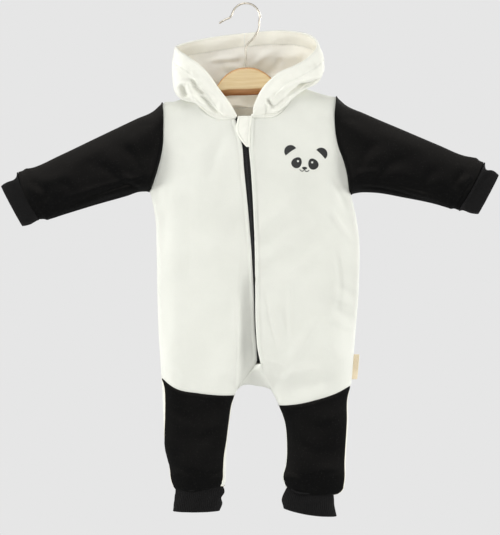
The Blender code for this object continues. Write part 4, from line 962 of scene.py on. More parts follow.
def between(first, last, shares, top, low):
    """A grid from one line of points to another, its ends laid on a line above and one below."""
    points = mix(first[:, None], last[:, None], shares[None, :, None])
    rise = -points[0, :, 2] - smooth(top, "x", "down", points[0, :, 0])
    fall = -points[-1, :, 2] - smooth(low, "x", "down", points[-1, :, 0])
    rise[[0, -1]] = 0
    fall[[0, -1]] = 0
    points[:, :, 2] += mix(rise[None], fall[None], np.linspace(0, 1, len(first))[:, None])
    return points


def make_back(material, reverse):
    """The white back of body and legs, which comes a little way round the legs' edges: a strip for each
    side and a patch over the crotch between them."""
    cloth, inner = Cloth(KNIT), {}
    first, *others = BACK_ROWS
    fork = sum(BACK_ROWS[:2])
    for hand, _ in HANDS:
        lines = [top_line(hand, BACK_NECK), level(SIDE[hand]["down"][0]), level(FORK), along(ANKLE[hand])]
        x, down = panel(
            lambda d: outer_x(d, hand), lambda d: split_x(d, hand), edge_spread(BACK_COLUMNS), lines,
            (crowded(first), *map(even, others)),
        )
        points = points_of(x, down, back_y(x, down))
        push = seam_dip(points, {"top": 0.7, "first": 0.3}, pucker=0.1)
        points = cloth.add(points, flip=hand == RIGHT, push=push, plain=True)
        low = np.flatnonzero(down[:, 0] > WRAP_FROM)[0]
        cloth.add(wrapped(points[low:, 0], hand, "outer", outer_x), flip=hand == LEFT, plain=True)
        cloth.add(wrapped(points[fork:, -1], hand, "inner", inner_x), flip=hand == RIGHT, plain=True)
        inner[hand] = points[: fork + 1, -1]
    points = between(inner[RIGHT], inner[LEFT], np.linspace(0, 1, PATCH_COLUMNS), BACK_NECK, CROTCH)
    inside = points[:, 1:-1]
    inside[..., 1] = back_y(inside[..., 0], -inside[..., 2])
    cloth.add(points, flip=True, plain=True)
    return sew("back", cloth, material, "white_knit", reverse=reverse)


def make_gusset(fronts, material):
    """The crotch gusset, from the zip's end to the seam between the legs."""
    zip_row, fork_row = sum(FRONT_ROWS[:2]), sum(FRONT_ROWS[:3])
    sides = [fronts[hand][zip_row:fork_row + 1, -1] for hand, _ in HANDS]
    top = table("x down", *((line[0, 0], -line[0, 2]) for line in sides))
    shares = np.linspace(0, 1, GUSSET_COLUMNS)
    points = between(*sides, shares, top, CROTCH)
    points = taken(points, np.linspace(0, len(points) - 1, GUSSET_ROWS))
    inside, shares = points[:, 1:-1], shares[1:-1]
    x, down = inside[..., 0], -inside[..., 2]
    dip = fold_dip(points[:, 0, 0], -points[:, 0, 2])[:, None] * (1 - shares[None]) ** 1.5
    deeper = step_up(np.linspace(0, 1, GUSSET_ROWS)[:, None], 0.05, 0.8)
    lean = 1 - GUSSET_LEAN * deeper * np.sin(math.pi * shares) ** 0.5
    inside[..., 1] = (front_y(x, down) + dip * body_shut(x, down)) * lean
    inside[-1, :, 1] = 0
    cloth = Cloth(KNIT)
    cloth.add(points, push=seam_dip(points, {"top": 0.6, "first": 0.5, "last": 0.5}), plain=True)
    return sew("gusset", cloth, material, "white_knit")


def sleeve_grid(hand):
    """Rings from the armhole to the cuff, each a flattened oval that starts and ends at the underarm."""
    rows, share_down = SLEEVE[hand], edge_spread(SLEEVE_COLUMNS)
    top_down, low_down = float(smooth(SHOULDER, "x", "down", rows["top_x"][0])), SIDE[hand]["down"][0]
    down0 = mix(top_down, low_down, share_down)
    x0 = outer_x(np.minimum(down0, low_down - 1e-6), hand)
    bow = x0 - mix(x0[0], x0[-1], share_down)
    s = np.linspace(0, 1, SLEEVE_ROWS)[:, None]
    at = lambda column: smooth(rows, "share", column, s)
    x = mix(at("top_x"), at("low_x"), share_down) + bow * (1 - s) ** 4
    down = mix(at("top_down"), at("low_down"), share_down)
    height = np.hypot(at("top_x") - at("low_x"), at("top_down") - at("low_down"))
    blend = np.minimum(1, s * 1.6)
    shut = turn(share_down * height / mix(SHOULDER_TURN, 0.5 * height, blend))
    shut = shut * turn((1 - share_down) * height / mix(UNDERARM_TURN, 0.5 * height, blend))
    reach = END_REACH[hand] * np.sin(math.pi * share_down) * s ** 12
    x = x + hand * 0.9 * reach
    down = down + 0.4 * reach
    rise = crease_depth(CREASES["sleeve"], x, down) + fold_height(FOLDS["sleeve"], x, down) + waves(x, down)
    rise = rise * step_up(shut, 0.05, 0.6) * step_up(s, 0, 0.1) * (1 - step_up(s, 0.95, 0.99))
    front = points_of(x, down, -(at("front") + rise) * shut)
    back = points_of(x, down, (at("back") + 0.7 * rise) * shut)
    front[0, :, 1], back[0, :, 1] = front_y(x0, down0, hand), back_y(x0, down0)
    points = np.concatenate([front[:, ::-1], back[:, 1:]], 1)
    points[:, 0, 1] = 0
    points[:, -1] = points[:, 0]
    return points


def make_sleeves(material):
    """Both black sleeves; returns their end rings."""
    ends = {}
    for hand, word in HANDS:
        points = sleeve_grid(hand)
        low = border_ways(points)["low"]
        push = seam_dip(points, {"top": 0.7, "first": 0.4, "last": 0.4})
        push = push + 1.5 * bell(low - 5, 5) - 0.7 * bell(low - 11, 2)
        cloth = Cloth(KNIT)
        cloth.add(points, flip=hand == LEFT, push=push, ring=True)
        sew(f"sleeve_{word}", cloth, material, "black_knit")
        ends[word] = points[-1]
    return ends


def leg_end(hand, shares):
    """The ring at a leg's ankle: over its front, then round its back."""
    rows = ANKLE[hand]
    x = mix(rows["x"][0], rows["x"][-1], shares)
    down = smooth(rows, "x", "down", x)
    front, back = points_of(x, down, leg_y(x, down)), points_of(x, down, back_y(x, down))
    return np.concatenate([front, back[-2::-1]])


def make_cuff(name, first, flip, material):
    """A ribbed cuff: flattened rings from the given one to the open end, respaced evenly round it, with
    ribs as a cosine of the way round."""
    rows, half = CUFFS[name], (len(first) - 1) // 2
    around = edge_spread(half + 1)
    s = np.linspace(0, 1, CUFF_ROWS)[:, None]
    at = lambda column: smooth(rows, "share", column, s)
    x = mix(at("a_x"), at("b_x"), around)
    down = mix(at("a_down"), at("b_down"), around)
    down = down + 4 * around * (1 - around) * mix(*CUFF_SAG[name], s)
    shut = turn(around / 0.46) * turn((1 - around) / 0.46)
    deep = at("half") + 0.9 * np.sin(math.pi * s) ** 0.6 - 0.6
    rings = np.concatenate([points_of(x, down, -deep * shut), points_of(x, down, deep * shut)[:, -2::-1]], 1)
    rings = mix(rings, first[None], bell(s[..., None], 0.10))
    middle = border_ways(rings)["first"][CUFF_ROWS // 2]
    columns = np.interp(np.linspace(0, middle[-1], RIB_COUNT * RIB_COLUMNS + 1), middle, np.arange(len(middle)))
    rings = taken(rings.swapaxes(0, 1), columns).swapaxes(0, 1)
    rings[:, -1] = rings[:, 0]
    phase = np.arange(rings.shape[1]) * 2 * math.pi / RIB_COLUMNS
    fade = step_up(s, 0.02, 0.12) * (1 - 0.5 * step_up(s, 0.9, 1))
    push = 0.30 * np.cos(phase)[None] * fade + 0.35 * np.sin(phase / 7.0 + 5 * s) * np.sin(math.pi * s)
    cloth = Cloth(RIB_KNIT)
    cloth.add(rings, flip=flip, push=push - 1.3 * bell(s - 0.02, 0.2) + 0.4 * bell(s - 1, 0.08), ring=True)
    return sew(name, cloth, material, "black_rib")


def make_cuffs(sleeve_ends, material):
    """The four cuffs. A sleeve's ring is turned to start at its upper edge, as its cuff does."""
    for hand, word in HANDS:
        ring = sleeve_ends[word]
        half = (len(ring) + 1) // 2
        first = np.concatenate([ring[half - 1::-1], ring[:half - 2:-1][1:]])
        make_cuff(f"sleeve_cuff_{word}", first, hand == RIGHT, material)
        make_cuff(f"ankle_cuff_{word}", leg_end(hand, edge_spread(ANKLE_COLUMNS)), False, material)


def neck_place(share):
    """Places on the neck seam, round from its right front end over the back to its left front end."""
    first, second = HOOD_POINTS
    x = np.interp(share, [0, first, second, 1], [HOOD_ENDS[0], NECK_POINT[RIGHT], NECK_POINT[LEFT], HOOD_ENDS[1]])
    parts = [share <= first, share >= second]
    down = np.select(
        parts, [smooth(FRONT_NECK[RIGHT], "x", "down", x), smooth(FRONT_NECK[LEFT], "x", "down", x)],
        smooth(BACK_NECK, "x", "down", x),
    )
    y = np.select(
        parts, [front_y(x, down, RIGHT), front_y(x, down, LEFT)], back_y(x, down),
    )
    up = unit(points_of(-x, down - NECK_MIDDLE, 0 * x))
    return points_of(x, down, y - 1.2 * np.tanh(y / 3)) + NECK_CLEAR * up


def finer(values, times):
    """The values with a number of equal steps between each two."""
    return np.interp(np.arange((len(values) - 1) * times + 1) / times, np.arange(len(values)), values)


def hood_grid(hand):
    """The hood's outer surface: over every place of the neck seam a rib, a cubic curve, stands up, then
    leans out and back in to the face edge. Rows run up the ribs, columns to the middle of the back."""
    shares = finer(HOOD_RIBS, RIB_TIMES)
    shares = shares if hand == RIGHT else 1 - shares
    corner = {
        word: points_of(*(smooth(HOOD, "share", f"{word}_{k}", shares) for k in ("x", "down", "y")))
        for word in ("low", "high", "edge")
    }
    t = finer(HOOD_STEPS, STEP_TIMES)[:, None, None]
    foot = neck_place(shares)
    rib = (
        (1 - t) ** 3 * foot + 3 * t * (1 - t) ** 2 * corner["low"]
        + 3 * t * t * (1 - t) * corner["high"] + t ** 3 * corner["edge"]
    )
    tall = np.linalg.norm(corner["edge"] - foot, axis=-1)[:, None]
    rise = NECK_STAND * (1 - np.exp(-t / 0.035)) * (1 - t) ** 2 * step_up(tall, 8, 45)
    return rib + rise * np.array([0, 0, 1.0])


def from_edge(points):
    """How far each place of the hood is from its face edge: the least distance to the last row."""
    edge = points[-1]
    return np.stack([np.linalg.norm(row[:, None] - edge[None], axis=-1).min(1) for row in points])


def hood_push(points, normals, edge):
    """Folds of the hood: those seen from the front where it faces there, those of the back elsewhere,
    the ridge along the neck seam, the groove of the hem's stitches and the roll of the face edge."""
    x, down = points[..., 0], -points[..., 2]
    facing = step_up(-normals[..., 1], -0.15, 0.45)
    front = crease_depth(CREASES["hood"], x, down) + fold_height(FOLDS["hood"], x, down)
    folds = mix(crease_depth(CREASES["hood_back"], x, down), front, facing)
    ways = border_ways(points)
    low, middle = ways["top"], ways["last"]
    inside = step_up(low, 3, 9) * step_up(edge, 1, 12)
    tall = step_up(low[-1:], 8, 40)
    band = 1.3 * step_up(low, 0.2, 1.2) * (1 - step_up(low, 4.8, 5.8))
    band = band - 0.6 * bell(low - 1.3, 0.5) - 0.6 * bell(low - 4.4, 0.5) - 0.8 * bell(low - 6.4, 0.9)
    hem = 0.5 * (1 - step_up(edge, HEM_WIDTH - 0.5, HEM_WIDTH + 1.5)) - 0.6 * bell(edge - HEM_STITCH, 1.0)
    hem = hem + 0.5 * bell(edge - 2.5, 2.4)
    ripple = 0.35 * np.sin(ways["first"] * 0.55) * bell(edge - HEM_WIDTH + 3, 5)
    folds = folds * inside + 1.3 * waves(1.7 * x, 1.7 * down) * inside
    return (folds + band + hem + ripple) * tall + 0.7 * seam_groove(middle)


def rows_between(values, start, end, count):
    """A grid's rows taken again, evenly between two row positions that are given for every column."""
    at = mix(start[None], end[None], np.linspace(0, 1, count)[:, None])
    low = np.minimum(at.astype(int), len(values) - 2)
    columns = np.arange(values.shape[1])[None]
    share = (at - low)[..., None] if values.ndim == 3 else at - low
    return mix(values[low, columns], values[low + 1, columns], share)


def row_where(field, value):
    """For every column, the position of the row after which the field stays below a value."""
    above = field > value
    last = len(field) - 1 - above[::-1].argmax(0)
    last = np.minimum(last, len(field) - 2)
    columns = np.arange(field.shape[1])
    span = field[last, columns] - field[last + 1, columns]
    return last + np.clip((field[last, columns] - value) / np.maximum(span, 1e-6), 0, 1)


def even_out(values):
    """The values with their small jumps averaged away."""
    for _ in range(12):
        values = np.concatenate([values[:1], (values[:-2] + 2 * values[1:-1] + values[2:]) / 4, values[-1:]])
    return values


def make_hood(outside, hem, cream):
    """The hood's two halves with their turned-in face hem, and the lining inside each of them."""
    grids = {}
    for hand, word in HANDS:
        base, flip = hood_grid(hand), hand == LEFT
        normals, edge = grid_normals(base, flip), from_edge(base)
        points = base + normals * hood_push(base, normals, edge)[..., None]
        points[:, -1, 0] = base[:, -1, 0]
        thick = mix(HEM, KNIT, step_up(edge, HEM_WIDTH - 2.4, HEM_WIDTH + 0.7))
        cloth = Cloth(KNIT)
        cloth.add(points, flip=flip, thickness=thick)
        sew(f"hood_{word}", cloth, outside, "white_knit", reverse=hem)
        grids[hand] = points, edge
        normals = grid_normals(points, flip)
        x, down = points[..., 0], -points[..., 2]
        dent = crease_depth(CREASES["lining"], x, down) + 1.6 * fold_height(FOLDS["lining"], x, down)
        dent = np.clip(dent + 0.9 * waves(2.1 * x, 1.9 * down), -2.6, 5.0)
        free = step_up(border_ways(points)["top"], 6, 16) * step_up(edge, HEM_WIDTH + 1.0, HEM_WIDTH + 16)
        lined = points - normals * (KNIT + LAYER_GAP + (LINING_STAND + dent) * free)[..., None]
        lined[:, -1, 0] = base[:, -1, 0]
        wide = edge[3] > HEM_WIDTH + 2
        end = even_out(row_where(edge, HEM_WIDTH - 3.0)[wide])
        cloth = Cloth(LINING)
        cloth.add(rows_between(lined[:, wide], np.full(wide.sum(), 3.0), end, LINING_ROWS), flip=flip)
        sew(f"hood_lining_{word}", cloth, cream, "lining")
    return grids


def tape_y(x, down):
    """The tapes' outer face, clear behind both fronts however deep the fold beside the zip is."""
    dip = smooth(FOLD, "down", "dip", down) * body_shut(x, down)
    return body_y(x, down, FRONT) + dip + TAPE_BEHIND + 3 * LAYER_GAP


def zip_middle(down):
    return (smooth(CENTRE[RIGHT], "down", "x", down) + smooth(CENTRE[LEFT], "down", "x", down)) / 2


def make_zip(tape, coil, steel):
    """Both tapes as one strip with a ridge beside the chain, the closed coil chain, and the slider."""
    downs = np.linspace(*TAPE_SPAN, TAPE_ROWS)[:, None]
    edges = [smooth(CENTRE[hand], "down", "x", downs) + hand * TAPE_UNDER for hand, _ in HANDS]
    x = mix(*edges, np.linspace(0, 1, TAPE_COLUMNS)[None])
    ridge = 0.35 * bell(np.abs(x - zip_middle(downs)) - 3.4, 0.7)
    cloth = Cloth(TAPE)
    cloth.add(points_of(x, downs, tape_y(x, downs + 0 * x) - ridge))
    down = np.arange(*CHAIN_SPAN, COIL_PITCH)
    turn_side = np.where(np.arange(len(down)) % 2, 1, -1)
    centre = points_of(zip_middle(down) + 0.35 * turn_side, down, tape_y(zip_middle(down), down) - 0.5)
    across = unit(np.stack([np.ones(len(down)), np.zeros(len(down)), 0.10 * turn_side], 1))
    up = np.tile([0.0, -1.0, 0.0], (len(down), 1))
    chain = piece(beads("zip_coil", centre, across, up, *COIL_SIZE, 8), coil, "zip_tape")
    sew("zip", cloth, tape, "zip_tape")
    make_slider(steel)


def beads(name, centres, along_way, up, length, half_wide, half_high, sides):
    """Rounded rods: along each one the radius follows a circle at its ends, and its section is an oval."""
    stations = np.array([-1, -0.96, -0.82, 0, 0.82, 0.96, 1.0])
    radius = np.array([0, 0.55, 0.95, 1, 0.95, 0.55, 0])
    angles = np.linspace(0, 2 * math.pi, sides + 1)
    beside = np.cross(along_way, up)
    at = lambda ways: ways[:, None, None, :]
    reach = stations[:, None, None] * length / 2
    wide = (radius[:, None] * np.cos(angles))[..., None] * half_wide
    high = (radius[:, None] * np.sin(angles))[..., None] * half_high
    points = at(centres) + at(along_way) * reach + at(beside) * wide + at(up) * high
    return add_closed(name, points)


def rounded_section(count, half_wide, half_high, power):
    """An oval between an ellipse and a rectangle: cosine and sine, each raised to a power below 1."""
    a = np.linspace(0, 2 * math.pi, count)
    c, s = np.cos(a), np.sin(a)
    return half_wide * np.sign(c) * np.abs(c) ** power, half_high * np.sign(s) * np.abs(s) ** power


def slider_part(stations, power):
    """One part of the slider: rounded sections over the tape, one for each station."""
    rings = []
    for d, wide, high, out in stations:
        down = SLIDER_DOWN + d
        a, b = rounded_section(RING_POINTS, max(wide, 0.02) / 2, max(high, 0.02) / 2, power)
        middle = float(zip_middle(down))
        back = float(tape_y(np.array(middle), np.array(down))) - LAYER_GAP
        rings.append(np.stack([middle + a, back - out + b, np.full(RING_POINTS, -down)], 1))
    return np.array(rings)


def make_slider(steel):
    """The slider, a rounded shield with a bridge, and the flat pull that lies down on the tape."""
    parts = [slider_part(*part) for part in SLIDER_PARTS]
    count = 4 * max(map(len, parts))
    same = [taken(part, np.linspace(0, len(part) - 1, count)) for part in parts]
    return piece(add_closed("slider_and_pull", same), steel, "steel", "zip_slider")


def make_guard(material):
    """The chin guard, a leaf of doubled cloth over the top of the zip, puffed inside its edge stitching."""
    downs = np.linspace(*GUARD_SHAPE["down"][[0, -1]], GUARD_ROWS)[:, None]
    left, right = (smooth(GUARD_SHAPE, "down", word, downs) for word in ("left", "right"))
    x = mix(left, right, edge_spread(GUARD_COLUMNS)[None])
    down = np.repeat(downs, GUARD_COLUMNS, 1)
    points = points_of(x, down, body_y(x, np.maximum(down, GUARD_FROM), FRONT) - GUARD_CLEAR)
    ways = border_ways(points)
    edge = np.minimum(np.minimum(ways["first"], ways["last"]), ways["low"])
    puff = 0.5 * step_up(edge, 0, 1.6) - 0.45 * bell(edge - GUARD_STITCH, 0.6) + 0.3 * step_up(edge, 2.6, 5)
    cloth = Cloth(GUARD)
    made = cloth.add(points, push=puff + 0.25 * np.sin(down * 0.5 + x * 0.3) * step_up(edge, 2, 6))
    sew("chin_guard", cloth, material, "white_knit")
    return made


def make_label(material):
    """The bare label that stands out of the left side seam, slightly bowed, with raised woven edges."""
    downs = np.linspace(LABEL_TOP, LABEL_LOW, LABEL_ROWS)[:, None]
    out = np.linspace(0, 1, LABEL_COLUMNS)[None]
    x = outer_x(downs, LEFT) + mix(-1.0, LABEL_OUT, out)
    down = np.repeat(downs, LABEL_COLUMNS, 1)
    y = -LABEL / 2 - 1.6 * out ** 2 * np.sin((downs - LABEL_TOP) / (LABEL_LOW - LABEL_TOP) * math.pi * 1.3 + 0.3)
    cloth = Cloth(LABEL)
    points = points_of(x, down, y)
    ways = border_ways(points)
    edge = np.minimum(ways["top"], ways["low"])
    cloth.add(points, push=0.12 * bell(edge - 0.6, 0.4) + 0.05 * np.sin(down * 6))
    return sew("side_label", cloth, material, "label")


def make_hanger(material):
    """The wooden hanger: a section carried along its top and bottom edges, rounded above and cut away
    below towards the front and back. Its flat faces are lighter than its rounded edges, whose darker colour
    is partly end grain and partly painted shade, and its cut-away underside is darker still, a painted shade."""
    start, end = HANGER_ENDS
    tip = HANGER_TIP * crowded(12)
    xs = np.concatenate([[start], start + tip, np.linspace(start + 10, end - 10, 180), end - tip[::-1], [end]])
    xs = np.unique(np.round(xs, 3))
    top, low = smooth(HANGER_TOP, "x", "down", xs), smooth(HANGER_LOW, "x", "down", xs)
    inside = turn(np.minimum(xs - start, end - xs) / 7)
    middle, tall = (top + low) / 2, (low - top) * (0.25 + 0.75 * inside)
    half = HANGER_THICK / 2 * (0.45 + 0.55 * inside)
    bevel = np.minimum(9.0, 0.42 * tall)
    rise = np.radians(np.linspace(0, 90, 8))
    edge_in, edge_down = HANGER_ROUND * (1 - np.sin(rise)), HANGER_ROUND * (1 - np.cos(rise))
    rings = []
    for x, m, t, h, b in zip(xs, middle, tall, half, bevel):
        high, deep, r = m - t / 2, m + t / 2, min(1.0, t / 16) * h / 6
        front = [(-h + d_in * r, high + d_down * r) for d_in, d_down in zip(edge_in, edge_down)]
        front += [(-h, mix(high + HANGER_ROUND * r, deep - b, share)) for share in (0.15, 0.5, 0.85)]
        front += [(-h, deep - b), (-h * 0.94, deep - b + 1.0), (-h * 0.26, deep - 1.2), (-h * 0.12, deep - 0.3)]
        front += [(-h * 0.02, deep)]
        ring = front + [(-y, d) for y, d in reversed(front)] + front[:1]
        rings.append([(x, y, -d) for y, d in ring])
    rings = np.array(rings)
    count = rings.shape[1]
    caps = [np.repeat(rings[k].mean(0)[None], count, 0) for k in (0, -1)]
    rings = np.concatenate([caps[0][None], rings, caps[1][None]])
    # Tone round the section: 1 on the flat faces, 0 on the rounded edges (partly end grain, partly painted shade), -1
    # on the underside (painted shade).
    half_tone = np.array([0, 0, 0, 0, 0.05, 0.3, 0.8, 1, 1, 1, 1, 0.9, 0.0, -1, -1, -1])
    tone = np.concatenate([half_tone, half_tone[::-1], half_tone[:1]])
    thing = add_closed("wooden_hanger", rings, np.broadcast_to(tone, rings.shape[:2])[None])
    return piece(thing, material, "wood", "hanger")


def make_hook(material):
    """The steel hook: a round wire up from the hanger, bent aside and round into the open crook, with a
    rounded tip."""
    foot = float(smooth(HANGER_TOP, "x", "down", STEM_X)) + 3
    path = [(STEM_X, foot), (STEM_X, mix(foot, STEM_TOP, 0.5)), (STEM_X, STEM_TOP)]
    path += list(zip(HOOK_BEND["x"], HOOK_BEND["down"]))
    angles = np.radians(np.linspace(CROOK_FROM, CROOK_TO, 13))
    path += list(zip(CROOK_RADIUS * np.cos(angles), CROOK_DOWN - CROOK_RADIUS * np.sin(angles)))
    path, at = smooth_path(np.array(path + list(zip(HOOK_TIP["x"], HOOK_TIP["down"]))), HOOK_POINTS)
    for _ in range(6):
        path[1:-1] = (path[:-2] + 2 * path[1:-1] + path[2:]) / 4
    way = unit(np.gradient(path, axis=0))
    radius = HOOK_WIRE / 2 * turn(np.minimum(at + 0.001, at[-1] - at) / (HOOK_WIRE / 2))
    a = np.linspace(0, 2 * math.pi, 21)
    side = radius[:, None] * np.cos(a)
    points = points_of(path[:, :1] + way[:, 1:] * side, path[:, 1:] - way[:, :1] * side, radius[:, None] * np.sin(a))
    return piece(add_closed("steel_hook", points[:, ::-1]), material, "steel", "hook")


def front_surface(x, down, out):
    """Points of the left front at a height over its cloth, and the directions away from it."""
    y = front_y(x, down)
    slope_x, slope_d = (front_y(x + 0.5, down) - y) / 0.5, (front_y(x, down + 0.5) - y) / 0.5
    normals = unit(np.stack([slope_x, -np.ones_like(y), -slope_d], -1))
    return points_of(x, down, y) + normals * np.asarray(out)[..., None], normals


def print_film(name, shape, material):
    """One printed shape: a thin lens that lies on the left front, from a radius for every angle."""
    rim = np.stack([PRINT_SIZE * v for v in shape(np.linspace(0, 2 * math.pi, 73))])[:, None]
    middle = np.stack([line[0, :-1].mean() for line in rim])[:, None, None]
    u, v = middle + (rim - middle) * FILM_SHARES[:, None]
    x, down = swung(PRINT_X, PRINT_DOWN, u, v, PRINT_TILT)
    points, _ = front_surface(x, down, np.broadcast_to(FILM_HEIGHTS[:, None] * PRINT_HEIGHT, x.shape))
    return piece(add_closed(name, points[:, ::-1]), material, "black_knit")


def oval(x, down, wide, tall, lean=0.0, egg=0.0):
    """A leaning oval, made wider at its lower end by egg."""
    def shape(a):
        return swung(x, down, wide / 2 * np.cos(a) * (1 + egg * np.sin(a)), tall / 2 * np.sin(a), lean)
    return shape


def ear(x, down, radius, lean):
    """A round ear with a hollowed foot where the head would be: a circle whose lower part is pushed up."""
    def shape(a):
        u, v = radius * np.cos(a), radius * np.sin(a)
        foot = 0.46 * radius * np.sqrt(np.clip(1 - (u / (1.25 * radius)) ** 2, 0, 1))
        v = np.where(v > 0, np.minimum(v, v * 0.15 + 0.35 * radius - foot), v)
        return swung(x, down, u, v, lean)
    return shape


def make_mouth(name, side, material):
    """One half of the mouth: a thin flat rod that hangs from the nose in a curve, pointed at its ends."""
    t = np.linspace(0, 1, 33)
    u, v = PRINT_SIZE * side * 6.7 * t, PRINT_SIZE * (12.0 + 3.0 * np.sin(math.pi * t) * (1 - 0.35 * t))
    middle, up = front_surface(*swung(PRINT_X, PRINT_DOWN, u, v, PRINT_TILT), 0.1)
    way = unit(np.gradient(middle, axis=0))
    half = 0.5 * np.sqrt(1.0001 - (2 * t - 1) ** 6)[:, None, None]
    a = np.linspace(0, 2 * math.pi, 13)[:, None]
    ring = np.cos(a) * np.cross(way, up)[:, None] + 0.7 * np.sin(a) * up[:, None]
    return piece(add_closed(name, middle[:, None] + half * ring), material, "black_knit")


def make_print(ink, white):
    """A plain panda face of ordinary shapes: two ears, two eye patches with glints, a nose and a mouth."""
    for hand, word in HANDS:
        print_film(f"print_ear_{word}", ear(hand * 20.6, -10.8, 8.5, hand * 0.70), ink)
    for hand, word in HANDS:
        print_film(f"print_patch_{word}", oval(hand * 11.0, 3.5, 13.4, 15.4, hand * -0.54, 0.16), ink)
    print_film("print_nose", oval(0, 10.2, 6.6, 3.8, 0, -0.22), ink)
    for hand, word in HANDS:
        make_mouth(f"print_mouth_{word}", hand, ink)
    for hand, word in HANDS:
        move_out(print_film(f"print_glint_{word}", oval(hand * 9.6, 1.5, 2.8, 2.8), white), GLINT_LIFT)


def move_out(thing, distance):
    """Lifts a small film a little further over the film below it, straight towards the front."""
    mesh = thing.data
    places = np.empty(len(mesh.vertices) * 3)
    mesh.vertices.foreach_get("co", places)
    places[1::3] -= distance * MM
    mesh.vertices.foreach_set("co", places)
    mesh.update()


def stitches(name, lines, material, pitch=2.7, length=2.0):
    """Rows of small stitches as rounded rods: every line is given as its points and outward directions."""
    centres, ways, ups = [], [], []
    for points, normals in lines:
        far = travel(points)
        at = np.arange(pitch / 2, far[-1], pitch)
        take = lambda values, s: np.stack([np.interp(s, far, values[:, k]) for k in range(3)], 1)
        way = unit(take(points, at + 0.4) - take(points, at - 0.4))
        up = take(normals, at)
        up = unit(up - way * (up * way).sum(1, keepdims=True))
        centres.append(take(points, at) + up * 0.05)
        ways.append(way)
        ups.append(up)
    centres, ways, ups = (np.concatenate(v) for v in (centres, ways, ups))
    made = beads(name, centres, ways, ups, length, STITCH_RADIUS, STITCH_RADIUS * 0.9, 6)
    return piece(made, material, "white_knit")


def lines_beside(points, flip, border, distance):
    """The line of places that lie a distance from one border of a grid, and the outward directions there."""
    normals = grid_normals(points, flip)
    away = border_ways(points)[border]
    if border in ("first", "last"):
        points, normals, away = (np.swapaxes(v, 0, 1) for v in (points, normals, away))
    if border in ("low", "last"):
        points, normals, away = points[::-1], normals[::-1], away[::-1]
    columns = np.arange(points.shape[1])
    row = np.clip((away < distance).sum(0), 1, len(points) - 1)
    span = away[row, columns] - away[row - 1, columns]
    share = np.clip((distance - away[row - 1, columns]) / np.maximum(span, 1e-9), 0, 1)[:, None]
    return tuple(mix(values[row - 1, columns], values[row, columns], share) for values in (points, normals))


def make_stitches(fronts, hoods, guard, thread):
    """Stitch rows: twice along the neck seam, along the hood's hem inside and out, beside the leg and
    armhole seams, along the zip's folded edges and down both sides of the chin guard."""
    lines = []
    underarm, zip_row = FRONT_ROWS[0], sum(FRONT_ROWS[:2])
    for hand, _ in HANDS:
        flip = hand == LEFT
        (hood, edge), front = hoods[hand], fronts[hand]
        lines += [lines_beside(hood[:, 3:], flip, "top", d) for d in NECK_STITCHES]
        wide = edge[3] > HEM_WIDTH + 2
        at = even_out(row_where(edge, HEM_STITCH)[wide])
        outside, ways = (rows_between(v[:, wide], at, at, 2)[0] for v in (hood, grid_normals(hood, flip)))
        lines += [(outside, ways), (outside - ways * HEM, -ways)]
        lines += [lines_beside(front[:, 6:-6], flip, "low", LEG_STITCH)]
        lines += [tuple(v[6:underarm] for v in lines_beside(front, flip, "first", ARMHOLE_STITCH))]
        lines += [tuple(v[6:zip_row - 2] for v in lines_beside(front, flip, "last", ZIP_STITCH))]
    stitches("white_stitches", lines, thread)
    rim = [lines_beside(guard, False, border, GUARD_STITCH) for border in ("first", "last")]
    stitches("guard_stitches", [tuple(v[5:-8] for v in line) for line in rim], thread, pitch=2.4, length=1.8)


